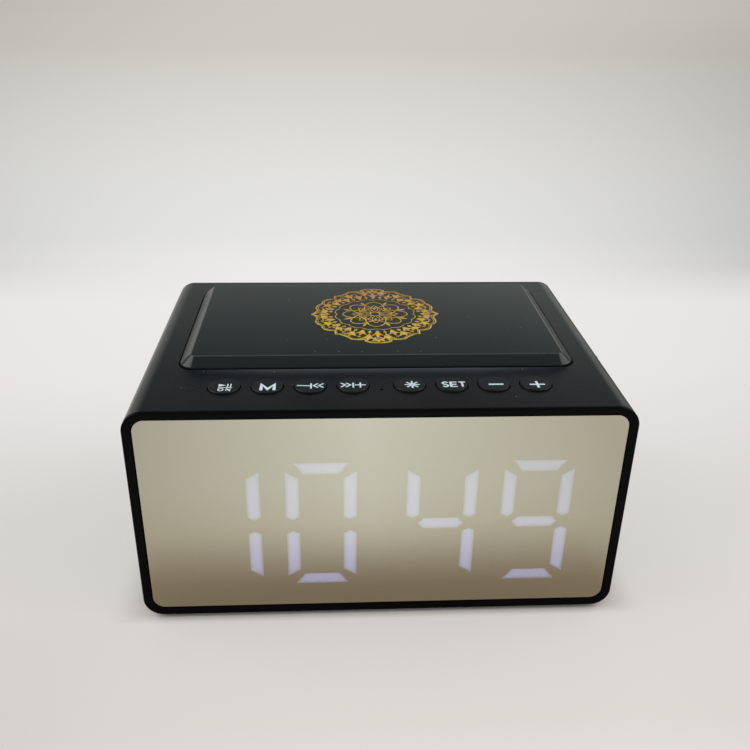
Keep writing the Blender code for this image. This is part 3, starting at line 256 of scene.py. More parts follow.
class ClockSizes(PropertyGroup):
    """Small sizes of the clock's finish."""

    edge_round: length_setting("Edge rounding", "Radius of the moulded edges", 0.3 * MM)
    bezel_round: length_setting("Frame rounding", "Radius of the front frame's edges", 0.45 * MM)
    mirror_bevel: length_setting("Mirror bevel", "Polished bevel of the display's sheet", 0.12 * MM)
    rim_break: length_setting("Rim break", "Small chamfer round the holes", 0.12 * MM)
    plate_round: length_setting("Plate rounding", "Radius of the raised plate's upper edge", 0.9 * MM)
    print_thick: length_setting("Print thickness", "Thickness of the printed ink", 0.03 * MM)
    ornament_width: length_setting("Ornament width", "Width of the gold print", 44.8 * MM)
    ornament_depth: length_setting("Ornament depth", "Depth of the gold print", 49.8 * MM)
    glow_strength: FloatProperty(
        name="Digit light", description="Strength of the lit segments", default=1.2, min=0, max=20
    )


# Settings of nodes that do maths, mix colours or change smoothly
SIZE_OF = {"operation": "ABSOLUTE"}
PLUS = {"operation": "ADD"}
MINUS = {"operation": "SUBTRACT"}
TIMES = {"operation": "MULTIPLY"}
OVER = {"operation": "DIVIDE"}
RAISED = {"operation": "POWER"}
LARGER = {"operation": "MAXIMUM"}
SMALLER = {"operation": "MINIMUM"}
BELOW = {"operation": "LESS_THAN"}
ABOVE = {"operation": "GREATER_THAN"}
COLOURS = {"data_type": "RGBA"}
SMOOTH = {"interpolation_type": "SMOOTHSTEP"}


def feed(socket, value):
    """Fills a socket with a plain value, an output, or the first output in use of a node."""
    if isinstance(value, bpy.types.Node):
        value = next(output for output in value.outputs if output.enabled)
    if isinstance(value, bpy.types.NodeSocket):
        socket.id_data.links.new(value, socket)
    else:
        socket.default_value = value


def add_node(tree, kind, settings, *inputs):
    """Adds a shader node with its properties and named sockets, and feeds its other sockets in order."""
    node = tree.nodes.new("ShaderNode" + kind)
    for name, value in settings.items():
        if name in node.inputs:
            feed(node.inputs[name], value)
        else:
            setattr(node, name, value)
    in_use = [socket for socket in node.inputs if socket.enabled]
    for socket, value in zip(in_use, inputs):
        feed(socket, value)
    return node


def set_stops(ramp, stops):
    """Gives a ramp its (position, hex colour) stops."""
    while len(ramp.elements) < len(stops):
        ramp.elements.new(1)
    for element, (position, hex_colour) in zip(ramp.elements, stops):
        element.position = position
        element.color = linear(hex_colour)


def seen_directly(tree):
    """One for the rays that show a background: those of the camera, of gloss and through glass."""
    rays = add_node(tree, "LightPath", {}).outputs
    seen = rays["Is Camera Ray"]
    for name in ("Is Glossy Ray", "Is Transmission Ray"):
        seen = add_node(tree, "Math", LARGER, seen, rays[name])
    return seen


def new_material(name, colour, roughness, values=None):
    """A material whose shader has these plain values. Returns it with its tree and shader."""
    material = bpy.data.materials.new(name)
    material.use_nodes = True
    shader = material.node_tree.nodes["Principled BSDF"]
    plain = {"Base Color": colour, "Roughness": roughness, **(values or {})}
    for socket, value in plain.items():
        shader.inputs[socket].default_value = value
    return material, material.node_tree, shader


def add_grain(tree, shader, grain, height, spread):
    """Gives a shader a moulded grain of a real size and height, and spreads its roughness."""
    level = shader.inputs["Roughness"].default_value
    place = add_node(tree, "TexCoord", {}).outputs["Object"]
    fine = add_node(tree, "TexNoise", {"Scale": 1 / grain, "Detail": 3.0}, place)
    feed(shader.inputs["Normal"], add_node(tree, "Bump", {"Distance": height, "Height": fine}))
    broad = add_node(tree, "TexNoise", {"Scale": 1 / SHEEN_PATCH, "Detail": 2.0}, place)
    rough = add_node(tree, "MapRange", {}, broad, *SHEEN_RANGE, level - spread, level + spread)
    feed(shader.inputs["Roughness"], rough)
    return place, rough


def add_dust_and_painted_highlight(tree, shader, place, rough, colour):
    """Scatters pale specks of dust over faces that look up, and paints a paler highlight band in front of
    the plate's groove.
    """
    add = partial(add_node, tree)
    axes = add("SeparateXYZ", {}, place)
    across, depth = axes.outputs["X"], axes.outputs["Y"]
    settings = {"voronoi_dimensions": "2D", "Scale": 1 / DUST_SPACING}
    cells = add("TexVoronoi", settings, add("CombineXYZ", {}, across, depth))
    near = add("Math", BELOW, cells.outputs["Distance"], SPECK_RADIUS / DUST_SPACING)
    pick = add("Math", ABOVE, cells.outputs["Color"], 1 - SPECK_SHARE)
    facing = add("SeparateXYZ", {}, add("NewGeometry", {}).outputs["True Normal"])
    up = add("Math", ABOVE, facing.outputs["Z"], LEVEL_SINE)
    specks = add("Math", TIMES, add("Math", TIMES, near, pick), up)
    # Painted highlight: level faces are painted paler in a band in front of the plate's groove, fading
    # towards the front and towards the plate's ends.
    edge = PLATE_LOW.y - GROOVE
    painted_band = add("MapRange", {}, depth, edge - HIGHLIGHT_BAND_WIDTH, edge - HIGHLIGHT_BAND_STOP)
    within = add("Math", TIMES, add("Math", BELOW, depth, edge), up)
    ends = add("MapRange", {}, add("Math", SIZE_OF, across), PLATE_HIGH.x, PLATE_HIGH.x / 2)
    kept = add("Math", TIMES, within, ends)
    painted_band = add("Math", TIMES, add("Math", RAISED, painted_band, HIGHLIGHT_BAND_POWER), kept)
    highlighted = add("Mix", COLOURS, painted_band, colour, linear("434849"))
    feed(shader.inputs["Base Color"], add("Mix", COLOURS, specks, highlighted, linear("8E9290")))
    feed(shader.inputs["Roughness"], add("Math", LARGER, rough, specks))


def satin_moulded_abs(name, colour, roughness):
    """ABS from a finely spark-eroded mould: black, satin, with soft highlights, a little dust and a painted
    highlight band before the plate's groove.
    """
    material, tree, shader = new_material(name, colour, roughness, {"IOR": 1.5})
    place, rough = add_grain(tree, shader, 0.3 * MM, 0.004 * MM, 0.03)
    add_dust_and_painted_highlight(tree, shader, place, rough, colour)
    return material


def gloss_moulded_abs(name, colour):
    """ABS from a polished mould: near-black, with clear highlights along its edges."""
    material, tree, shader = new_material(name, colour, 0.22, {"Specular IOR Level": 0.05})
    add_grain(tree, shader, 1.2 * MM, 0.002 * MM, 0.04)
    return material


def coated_acrylic(name, colour):
    """Half-mirror acrylic: a vacuum-coated sheet that reflects a warm grey and lets lamps through."""
    material, tree, shader = new_material(name, colour, 0.05, {"Metallic": 1.0})
    # Only the outer face is coated: light passes the back of the sheet freely.
    back = add_node(tree, "NewGeometry", {}).outputs["Backfacing"]
    feed(shader.inputs["Alpha"], add_node(tree, "MapRange", {}, back, 0, 1, COATING_SHARE, 0))
    # The sheet is flat to a few hundredths of a millimetre over 40 mm, which bends reflections a little.
    place = add_node(tree, "TexCoord", {}).outputs["Object"]
    wave = add_node(tree, "TexNoise", {"Scale": 1 / (40 * MM), "Detail": 1.0}, place)
    feed(shader.inputs["Normal"], add_node(tree, "Bump", {"Distance": 0.02 * MM, "Height": wave}))
    return material


def hot_foil_gold(name, colour):
    """Gold foil pressed on plastic: a warm metal sheen, slightly broken by the grain under it."""
    material, tree, shader = new_material(name, colour, 0.42, {"Metallic": 0.25})
    add = partial(add_node, tree)
    place, _ = add_grain(tree, shader, 0.25 * MM, 0.004 * MM, 0.08)
    # Painted reflection: the foil is painted a paler, yellower gold at the front and a deeper, browner gold
    # towards the back, over the middle 40 mm of the plate.
    depth = add("SeparateXYZ", {}, place).outputs["Y"]
    middle = (PLATE_LOW.y + PLATE_HIGH.y) / 2
    share = add("MapRange", {}, depth, middle - 20 * MM, middle + 20 * MM)
    bright = add("Mix", COLOURS, share, colour, linear("D2A24E"))
    deep = add("Mix", COLOURS, share, linear("B8963A"), linear("A87C3A"))
    # Where the foil took less well it is darker, in patches about a millimetre across.
    mottle = add("TexNoise", {"Scale": 1 / (1.11 * MM), "Detail": 4.0}, place)
    worn = add("MapRange", {}, mottle, 0.35, 0.6)
    feed(shader.inputs["Base Color"], add("Mix", COLOURS, worn, deep, bright))
    return material


def pad_printed_ink(name, colour):
    """Pale ink pressed on by a soft pad: matt, with an edge and body that vary slightly."""
    material, tree, shader = new_material(name, colour, 0.55)
    place, _ = add_grain(tree, shader, 0.2 * MM, 0.003 * MM, 0.05)
    body = add_node(tree, "TexNoise", {"Scale": 1 / (0.714 * MM), "Detail": 3.0}, place)
    thin = tuple(channel * 0.86 for channel in colour[:3]) + (1,)
    feed(shader.inputs["Base Color"], add_node(tree, "Mix", COLOURS, body, thin, colour))
    return material


def lit_diffuser(name, colour, strength):
    """Milky polycarbonate with lamps behind it: bright in the middle, fading to its edges."""
    material, tree, shader = new_material(name, linear("D8D8E0"), 0.5, {"Emission Color": colour})
    add = partial(add_node, tree)
    glow = add("Attribute", {"attribute_name": "glow"}).outputs["Fac"]
    power = add("MapRange", {}, glow, 0, 1, strength * GLOW_EDGE_SHARE, strength)
    # The lamps' light is a little stronger low down in the display.
    height = add("SeparateXYZ", {}, add("TexCoord", {}).outputs["Object"]).outputs["Z"]
    share = add("MapRange", {}, height, *GLOW_SLOPE)
    feed(shader.inputs["Emission Strength"], add("Math", TIMES, power, share))
    return material


# Plain finishes: hex colour, roughness, metallic, and the size and height of the grain
FINISHES = {
    # Matt paint that swallows the lamps' stray light, so the display is dark between its windows
    "matt_black_light_mask": ("070707", 0.8, 0, 0.4 * MM, 0.01 * MM),
    # Cast epoxy, black to the eye with a trace of purple, and smooth
    "infrared_black_epoxy": ("0B090C", 0.25, 0, 0.4 * MM, 0.01 * MM),
    # Milky plastic with no lamp on behind it: a dark neutral grey
    "unlit_milky_polycarbonate": ("2A2A2E", 0.5, 0, 0.4 * MM, 0.01 * MM),
    # Painted highlight on a moulded edge: paler and smoother than the faces
    "painted_highlight_abs_edge": ("383E3F", 0.2, 0, 0.3 * MM, 0.004 * MM),
    # Painted shade on a key's side wall: blacker and duller than its top
    "painted_shade_key_wall": ("060607", 0.7, 0, 0.3 * MM, 0.004 * MM),
    # Felt over the capsule: black and quite without gloss
    "felt_faced_capsule": ("0B0B0C", 0.95, 0, 0.3 * MM, 0.03 * MM),
    # Blackened steel of the screws: dark metal with a soft shine
    "blackened_screw_steel": ("3B3D40", 0.38, 1, 0.3 * MM, 0.01 * MM),
    # Pressed and blackened sheet of the speaker's basket: duller than the screws
    "blackened_basket_steel": ("303236", 0.5, 1, 0.4 * MM, 0.01 * MM),
    # Fired and ground ceramic magnet: dark grey and dull
    "sintered_ferrite": ("232325", 0.65, 0, 0.4 * MM, 0.01 * MM),
    # Soft rubber roll round the cone: black with a broad, weak shine
    "moulded_rubber_surround": ("121212", 0.7, 0, 0.4 * MM, 0.01 * MM),
    # Solid rubber of the feet: black and almost matt
    "moulded_rubber_feet": ("101010", 0.75, 0, 0.5 * MM, 0.02 * MM),
    # Glass-filled nylon of the switches: dark grey, half matt
    "moulded_switch_nylon": ("3A3A3C", 0.5, 0, 0.4 * MM, 0.01 * MM),
    # Nylon of the sound socket and battery holder: black, half matt
    "moulded_socket_nylon": ("121213", 0.45, 0, 0.4 * MM, 0.01 * MM),
    # Tin on rolled steel: a bright, slightly clouded metal
    "tin_plated_steel": ("B4B6B8", 0.28, 1, 0.5 * MM, 0.004 * MM),
    # Film shrunk on the cell: blue and glossy, with a slight ripple
    "heat_shrunk_sleeve": ("2D5B8C", 0.3, 0, 1.5 * MM, 0.01 * MM),
}


def plain_finish(name):
    """A moulded, cast or rolled surface with a fine grain."""
    hex_colour, roughness, metallic, grain, height = FINISHES[name]
    material, tree, shader = new_material(name, linear(hex_colour), roughness, {"Metallic": metallic})
    add_grain(tree, shader, grain, height, 0.06)
    return material


def solder_resist(name):
    """Fibreglass board under green solder resist, with copper tracks that show faintly through it."""
    green = linear("1F5A3A")
    material, tree, shader = new_material(name, green, 0.4)
    place, _ = add_grain(tree, shader, 0.6 * MM, 0.01 * MM, 0.05)
    settings = {"Color1": green, "Color2": linear("256844"), "Mortar": linear("17462D")}
    settings |= {"Scale": 1 / (5 * MM), "Mortar Size": 0.03}
    feed(shader.inputs["Base Color"], add_node(tree, "TexBrick", settings, place))
    return material


def pressed_paper(name):
    """Black pressed paper pulp: matt, with a soft fibrous surface."""
    material, tree, shader = new_material(name, linear("141415"), 0.85)
    # Fibres are drawn 0.5 mm across, so that they still show through the grille.
    add_grain(tree, shader, 0.5 * MM, 0.05 * MM, 0.05)
    return material


def rounded_outline(half_width, half_height, radius, centre=(0, 0), steps=CORNER_STEPS):
    """The points of a rectangle with round corners, anticlockwise."""
    points = []
    for quarter, (side, end) in enumerate(((1, 1), (-1, 1), (-1, -1), (1, -1))):
        middle_x = centre[0] + side * (half_width - radius)
        middle_y = centre[1] + end * (half_height - radius)
        for step in range(steps + 1):
            turn = math.pi / 2 * (quarter + step / steps)
            points.append((middle_x + radius * math.cos(turn), middle_y + radius * math.sin(turn)))
    return points


def case_loop(inset, y):
    """The casing's outline drawn in by inset, at a depth."""
    half_width = SHELL_HIGH.x - inset
    half_height = (SHELL_HIGH.z - SHELL_LOW.z) / 2 - inset
    outline = rounded_outline(half_width, half_height, CASE_CORNER - inset, (0, MIDDLE_Z))
    return [(x, y, z) for x, z in outline]


def opening_loop(inset, y):
    """The outline of the display's opening drawn in by inset, at a depth."""
    half_width = SHELL_HIGH.x - BORDER - inset
    half_height = (SHELL_HIGH.z - SHELL_LOW.z - BORDER - TOP_BORDER) / 2 - inset
    centre = (0, MIDDLE_Z + (BORDER - TOP_BORDER) / 2)
    outline = rounded_outline(half_width, half_height, OPENING_CORNER - inset, centre)
    return [(x, y, z) for x, z in outline]


def plate_loop(inset, z):
    """The raised plate's outline drawn in by inset, at a height."""
    half_width = PLATE_HIGH.x - inset
    half_length = (PLATE_HIGH.y - PLATE_LOW.y) / 2 - inset
    centre = (0, (PLATE_HIGH.y + PLATE_LOW.y) / 2)
    outline = rounded_outline(half_width, half_length, PLATE_CORNER - inset, centre)
    return [(x, y, z) for x, y in outline]


def arc_turns(start, end, steps):
    """Angles in radians from start to end, given in degrees."""
    return [math.radians(start + (end - start) * step / steps) for step in range(steps + 1)]


def edge_arc(centre, radius, start, end, steps=EDGE_STEPS):
    """Points of an arc in a section, with its angles in degrees."""
    turns = arc_turns(start, end, steps)
    return [(centre[0] + radius * math.cos(t), centre[1] + radius * math.sin(t)) for t in turns]


def add_loops(shape, loops, closed=False):
    """Joins equal loops of points into a skin, capped at its ends or closed into a ring."""
    rings = [[shape.verts.new(point) for point in loop] for loop in loops]
    pairs = list(zip(rings, rings[1:]))
    if closed:
        pairs.append((rings[-1], rings[0]))
    else:
        shape.faces.new(rings[0])
        shape.faces.new(rings[-1])
    for near, far in pairs:
        for i in range(len(near)):
            j = (i + 1) % len(near)
            shape.faces.new((near[i], near[j], far[j], far[i]))
    return rings


def add_turned(shape, profile, sides, place):
    """Turns (radius, height) points about the place's axis. One that never meets it is a ring."""
    rings = []
    for radius, height in profile:
        count = sides if radius > 0 else 1
        turns = [math.tau * i / count for i in range(count)]
        points = [Vector((radius * math.cos(t), radius * math.sin(t), height)) for t in turns]
        rings.append([shape.verts.new(place @ point) for point in points])
    pairs = list(zip(rings, rings[1:]))
    if len(rings[0]) > 1 and len(rings[-1]) > 1:
        pairs.append((rings[-1], rings[0]))
    for near, far in pairs:
        for i in range(sides):
            j = (i + 1) % sides
            corners = [near[i % len(near)], near[j % len(near)], far[j % len(far)], far[i % len(far)]]
            shape.faces.new(list(dict.fromkeys(corners)))


def add_prism(shape, outline, y_front, y_back):
    """A prism whose (x, z) outline is seen from the front."""
    return add_loops(shape, [[(x, y, z) for x, z in outline] for y in (y_front, y_back)])


def add_flared_prism(shape, outlines, ys):
    """A prism whose (x, z) outline changes along its depth."""
    add_loops(shape, [[(x, y, z) for x, z in outline] for outline, y in zip(outlines, ys)])


def add_ribbon(shape, points, widths, low, high, place=Matrix(), closed=False):
    """A flat printed line along (x, y) points, of one width or a width for each point."""
    count = len(points)
    if not isinstance(widths, (list, tuple)):
        widths = [widths] * count
    loops = []
    for i, (x, y) in enumerate(points):
        before = points[i - 1] if closed or i else points[i]
        after = points[(i + 1) % count] if closed or i < count - 1 else points[i]
        along = Vector((after[0] - before[0], after[1] - before[1])).normalized()
        across = Vector((-along.y, along.x)) * widths[i] / 2
        section = [(x + across.x, y + across.y), (x - across.x, y - across.y)]
        corners = [(*section[0], low), (*section[1], low), (*section[1], high), (*section[0], high)]
        loops.append([place @ Vector(corner) for corner in corners])
    add_loops(shape, loops, closed)


def new_object(name, shape, materials):
    """Turns a shape in world places into an object."""
    bmesh.ops.recalc_face_normals(shape, faces=shape.faces)
    mesh = bpy.data.meshes.new(name)
    shape.to_mesh(mesh)
    shape.free()
    for material in materials:
        mesh.materials.append(material)
    made = bpy.data.objects.new(name, mesh)
    bpy.context.scene.collection.objects.link(made)
    return made


def combine(target, shape, operation="DIFFERENCE"):
    """Cuts a shape out of an object, or joins it on, and keeps the new mesh."""
    tool = new_object("tool", shape, target.data.materials)
    modifier = target.modifiers.new("Combine", "BOOLEAN")
    modifier.operation = operation
    modifier.solver = "EXACT"
    modifier.object = tool
    graph = bpy.context.evaluated_depsgraph_get()
    whole = bpy.data.meshes.new_from_object(target.evaluated_get(graph))
    target.modifiers.clear()
    spent = [target.data, tool.data]
    target.data = whole
    bpy.data.objects.remove(tool)
    for mesh in spent:
        bpy.data.meshes.remove(mesh)


def settle(made, body, slot, *nodes):
    """Smooths a finished piece, ties it to its body, and hides the nodes it stands for. Its slot is not
    used.
    """
    made.data.shade_smooth()
    made.data.set_sharp_from_angle(angle=SHARP_ANGLE)
    flat = made.modifiers.new("Flat faces", "WEIGHTED_NORMAL")
    flat.keep_sharp = True
    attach(made, body)
    if nodes:
        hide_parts(*nodes)
    return made


def dress(node, material):
    """Gives a node of the frame its finish."""
    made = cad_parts[node]
    for slot in made.material_slots:
        slot.link = "OBJECT"
        slot.material = material


def turned_hole(profile_radius, rim, low, surface):
    """The profile of a round cutter that leaves a small chamfer at the surface."""
    top = surface + OVERRUN
    return [
        (0, low),
        (profile_radius, low),
        (profile_radius, surface - rim),
        (profile_radius + rim + OVERRUN, top),
        (0, top),
    ]


def measured(node):
    """The lowest and highest corner of a node's box, and its middle."""
    low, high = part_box(node)
    return low, high, (low + high) / 2


def axis_through(middle, axis):
    """The place of a turned shape whose axis runs through a point."""
    foot = middle.copy()
    foot["xyz".index(axis)] = 0
    return Matrix.Translation(foot) @ ALONG[axis]


def turned_object(name, profile, sides, place, material):
    """An object of one turned shape."""
    shape = bmesh.new()
    add_turned(shape, profile, sides, place)
    return new_object(name, shape, [material])


class CLOCK_OT_casing(Operator):
    """Build the moulded sleeve with its rounded edges, pocket and holes"""

    bl_idname = "clock.casing"
    bl_label = "Casing"

    def execute(self, context):
        sizes = context.scene.clock_sizes
        soft, rim = sizes.edge_round, sizes.rim_break
        colour = tuple(context.scene.clock_colours.casing)
        black = satin_moulded_abs("satin_moulded_abs_casing", colour, CASING_ROUGHNESS)
        front = SHELL_LOW.y
        seat = COVER_HIGH.y - COVER_THICK - FIT_GAP
        profile = [
            *edge_arc((soft, front + soft), soft, 180, 270),
            (FRONT_LIP, front),
            (FRONT_LIP, FRONT_Y + LIP_DEPTH),
            (WALL, FRONT_Y + LIP_DEPTH),
            (WALL, seat),
            (BACK_LIP, seat),
            (BACK_LIP, BACK_Y),
            *edge_arc((soft, BACK_Y - soft), soft, 90, 180),
        ]
        shape = bmesh.new()
        add_loops(shape, [case_loop(inset, y) for inset, y in profile], closed=True)
        sleeve = new_object("casing_sleeve", shape, [black])

        holes = bmesh.new()
        levels = [
            (-GROOVE, TOP_Z - POCKET_DEPTH),
            (-GROOVE, TOP_Z - rim),
            (-GROOVE - rim - OVERRUN, TOP_Z + OVERRUN),
        ]
        add_loops(holes, [plate_loop(inset, z) for inset, z in levels])
        inside = TOP_Z - WALL - OVERRUN
        for number in range(1, 9):
            *_, middle = measured(f"key_cap_{number}")
            profile = turned_hole(KEY_RADIUS + FIT_GAP, rim, inside, TOP_Z)
            add_turned(holes, profile, KEY_SIDES, axis_through(middle, "z"))
        *_, middle = measured("microphone")
        profile = turned_hole(MIC_HOLE_RADIUS, rim, inside, TOP_Z)
        add_turned(holes, profile, SMALL_SIDES, axis_through(middle, "z"))
        *_, middle = measured("power_button")
        inner = SHELL_HIGH.x - WALL - OVERRUN
        profile = turned_hole(SIDE_BUTTON_RADIUS + FIT_GAP, rim, inner, SHELL_HIGH.x)
        add_turned(holes, profile, KEY_SIDES, axis_through(middle, "x"))
        down = Matrix.Rotation(math.pi, 4, "X")
        for number in range(1, 5):
            *_, middle = measured(f"foot_{number}")
            profile = turned_hole(FOOT_RADIUS + FIT_GAP, rim, -SHELL_LOW.z - FOOT_RECESS, -SHELL_LOW.z)
            add_turned(holes, profile, SMALL_SIDES, axis_through(middle, "z") @ down)
        combine(sleeve, self.lip(), "UNION")
        combine(sleeve, holes)
        settle(sleeve, "casing", "casing_black", "body_shell")
        return {"FINISHED"}

    def lip(self):
        """The low slope, mitred at its ends, that rises to the groove's front edge."""
        back, front = PLATE_LOW.y, PLATE_LOW.y - GROOVE - LIP_WIDTH
        ridge = PLATE_HIGH.x - PLATE_CORNER + GROOVE
        high, under = TOP_Z + LIP_HEIGHT, TOP_Z - WALL / 2
        slope = PLATE_LOW.y - GROOVE
        section = [(front, TOP_Z, ridge + LIP_WIDTH), (slope, high, ridge), (back, high, ridge)]
        section += [(back, under, ridge), (front, under, ridge + LIP_WIDTH)]
        shape = bmesh.new()
        add_loops(shape, [[(side * reach, y, z) for y, z, reach in section] for side in (-1, 1)])
        return shape


class CLOCK_OT_front_frame(Operator):
    """Build the black frame round the display"""

    bl_idname = "clock.front_frame"
    bl_label = "Front frame"

    def execute(self, context):
        soft = context.scene.clock_sizes.bezel_round
        small = context.scene.clock_sizes.edge_round
        black = gloss_moulded_abs("gloss_moulded_abs_frame", tuple(context.scene.clock_colours.bezel))
        face_back = SHELL_LOW.y - FIT_GAP
        ledge = PANEL_HIGH.y + FIT_GAP
        inside = FRONT_LIP + FIT_GAP
        outer = [(inside, BEZEL_HIGH.y), (inside, face_back), (small, face_back), (0, face_back - small)]
        outer += edge_arc((soft, FRONT_Y + soft), soft, 180, 270)
        opening = [
            *edge_arc((-small, FRONT_Y + small), small, 270, 360),
            (0, ledge),
            (LEDGE_WIDTH, ledge),
            (LEDGE_WIDTH, ledge + LEDGE_THICK),
            (0, ledge + LEDGE_THICK),
            (0, BEZEL_HIGH.y),
        ]
        loops = [case_loop(inset, y) for inset, y in outer]
        loops += [opening_loop(inset, y) for inset, y in opening]
        shape = bmesh.new()
        add_loops(shape, loops, closed=True)
        settle(new_object("front_frame", shape, [black]), "casing", "bezel_black", "front_bezel")
        return {"FINISHED"}


def segment_outlines(half_width, half_height):
    """The seven segments of a figure by letter, as (x, z) outlines about its centre."""
    wide, high, thick = half_width, half_height, SEGMENT_WIDTH
    top = [
        (-wide + BAR_OUTER_END, high),
        (wide - BAR_OUTER_END, high),
        (wide - BAR_INNER_END, high - thick),
        (-wide + BAR_INNER_END, high - thick),
    ]
    side = [
        (wide - thick, high - SEGMENT_INNER_END),
        (wide, high - SEGMENT_OUTER_END),
        (wide, WAIST + SEGMENT_POINT),
        (wide - thick / 2, WAIST),
        (wide - thick, WAIST + SEGMENT_POINT),
    ]
    middle = [
        (-wide + BAR_TIP, 0),
        (-wide + BAR_SHOULDER, thick / 2),
        (wide - BAR_SHOULDER, thick / 2),
        (wide - BAR_TIP, 0),
        (wide - BAR_SHOULDER, -thick / 2),
        (-wide + BAR_SHOULDER, -thick / 2),
    ]
    return {
        "a": top,
        "b": side,
        "c": [(x, -z) for x, z in side],
        "d": [(x, -z) for x, z in top],
        "e": [(-x, -z) for x, z in side],
        "f": [(-x, z) for x, z in side],
        "g": middle,
    }


def drawn_in(outline, distance):
    """A convex outline with every side moved inwards by a distance."""
    count = len(outline)
    middle = sum((Vector(point) for point in outline), Vector((0, 0))) / count
    lines = []
    for i in range(count):
        start = Vector(outline[i])
        along = (Vector(outline[(i + 1) % count]) - start).normalized()
        normal = Vector((-along.y, along.x))
        if normal.dot(middle - start) < 0:
            normal = -normal
        lines.append((start + normal * distance, along))
    points = []
    for i in range(count):
        (first, one), (second, two) = lines[i - 1], lines[i]
        reach = (second - first).cross(two) / one.cross(two)
        points.append(tuple(first + one * reach))
    return points


def add_segment(shape, glow, outline, front, back, lit):
    """A block of diffuser in its window, whose glow value rises from its edge to its middle."""
    edge = drawn_in(outline, WINDOW_GAP)
    inner = drawn_in(outline, GLOW_FADE)
    levels = [(edge, back, 0.0), (edge, front, 0.0), (inner, front, 1.0)]
    before = len(shape.faces)
    rings = add_loops(shape, [[(x, y, z) for x, z in points] for points, y, _ in levels])
    for ring, (_, _, value) in zip(rings, levels):
        for vertex in ring:
            vertex[glow] = value
    shape.faces.ensure_lookup_table()
    for face in shape.faces[before:]:
        face.material_index = 0 if lit else 1


class CLOCK_OT_display(Operator):
    """Build the half-mirror window, the light mask and the lit figures behind it"""

    bl_idname = "clock.display"
    bl_label = "Display"

    def execute(self, context):
        colours, sizes = context.scene.clock_colours, context.scene.clock_sizes
        mirror = coated_acrylic("coated_acrylic_mirror", tuple(colours.mirror))
        bevel = sizes.mirror_bevel
        shape = bmesh.new()
        levels = [(FIT_GAP + bevel, PANEL_LOW.y), (FIT_GAP, PANEL_LOW.y + bevel), (FIT_GAP, PANEL_HIGH.y)]
        add_loops(shape, [opening_loop(inset, y) for inset, y in levels])
        sheet = new_object("mirror_sheet", shape, [mirror])
        settle(sheet, "casing", "mirror_panel", "mirror_panel")
        dress("display_mask", plain_finish("matt_black_light_mask"))
        dress("remote_receiver", plain_finish("infrared_black_epoxy"))
        dress("display_board", bpy.data.materials["solder_resist"])
        lit = lit_diffuser("lit_milky_polycarbonate", tuple(colours.glow), sizes.glow_strength)
        dark = plain_finish("unlit_milky_polycarbonate")
        for number, letters in enumerate(FIGURES, start=1):
            node = f"digit_diffuser_{number}"
            low, high, _ = measured(node)
            half_width = (high.x - low.x) / 2 - DIFFUSER_MARGIN
            half_height = (high.z - low.z) / 2 - DIFFUSER_MARGIN
            outlines = segment_outlines(half_width, half_height)
            windows = [(outline, letter in letters) for letter, outline in outlines.items()]
            self.figure(node, f"figure_{number}", windows, lit, dark)
        low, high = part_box("colon_diffuser")
        half = COLON_DOT / 2
        spread = (high.z - low.z) / 2 - DIFFUSER_MARGIN - half
        square = [(-half, -half), (half, -half), (half, half), (-half, half)]
        dots = [([(x, z + end * spread) for x, z in square], False) for end in (-1, 1)]
        self.figure("colon_diffuser", "colon", dots, lit, dark)
        return {"FINISHED"}

    def figure(self, node, name, windows, lit, dark):
        """One figure: its blocks, and the sheet that joins them from behind."""
        low, high, middle = measured(node)
        shape = bmesh.new()
        glow = shape.verts.layers.float.new("glow")
        sheet_front = high.y - DIFFUSER_THICK
        for outline, is_lit in windows:
            moved = [(middle.x + x, middle.z + z) for x, z in outline]
            add_segment(shape, glow, moved, low.y, sheet_front, is_lit)
        before = len(shape.faces)
        half_width, half_height = (high.x - low.x) / 2, (high.z - low.z) / 2
        outline = rounded_outline(half_width, half_height, DIFFUSER_MARGIN, (middle.x, middle.z), EDGE_STEPS)
        add_prism(shape, outline, sheet_front, high.y)
        shape.faces.ensure_lookup_table()
        for face in shape.faces[before:]:
            face.material_index = 1
        settle(new_object(name, shape, [lit, dark]), "casing", "milky_diffuser", node)


class CLOCK_OT_raised_plate(Operator):
    """Build the raised plate with its chamfered rim"""

    bl_idname = "clock.raised_plate"
    bl_label = "Raised plate"

    def execute(self, context):
        sizes = context.scene.clock_sizes
        colour = tuple(context.scene.clock_colours.plate)
        black = satin_moulded_abs("satin_moulded_abs_plate", colour, PLATE_ROUGHNESS)
        edge_highlight = plain_finish("painted_highlight_abs_edge")
        soft = sizes.plate_round
        foot = sizes.edge_round
        high = PLATE_HIGH.z - sizes.print_thick
        slope = math.degrees(math.atan2(PLATE_RISE - PLATE_FOOT, PLATE_CHAMFER))
        turn = math.radians(slope) / 2
        back = soft * math.tan(turn)
        centre = (PLATE_CHAMFER + back, high - soft)
        shoulder = edge_arc(centre, soft, 90 + slope, 90)
        profile = [
            (0, TOP_Z - POCKET_DEPTH + FIT_GAP),
            (0, TOP_Z + PLATE_FOOT - foot * CUT_BELOW_SHARE),
            (foot * CUT_ABOVE_SHARE, TOP_Z + PLATE_FOOT + foot * CUT_ABOVE_SHARE),
            *shoulder,
        ]
        shape = bmesh.new()
        add_loops(shape, [plate_loop(inset, z) for inset, z in profile])
        # Painted highlight: the faces of the plate's rounded upper edge take the paler edge finish.
        for face in shape.faces:
            round_edge = len(face.verts) == 4 and face.calc_center_median().z > shoulder[0][1]
            face.material_index = int(round_edge)
        settle(new_object("raised_plate", shape, [black, edge_highlight]), "casing", "plate_black", "top_plate")
        return {"FINISHED"}


# Gold ornament: its place on the plate
ORNAMENT_SETBACK = 1.9 * MM
ORNAMENT_SHIFT = 0.6 * MM
# A leaf's blunt end as a share of its width, how far its belly lies to the front, a spiral's winding in
LEAF_END_SHARE, LEAF_BELLY, CURL_SHARE = 0.06, 0.8, 0.78
# A ray and an edge whose cross product is below this count as parallel
PARALLEL = 1e-12
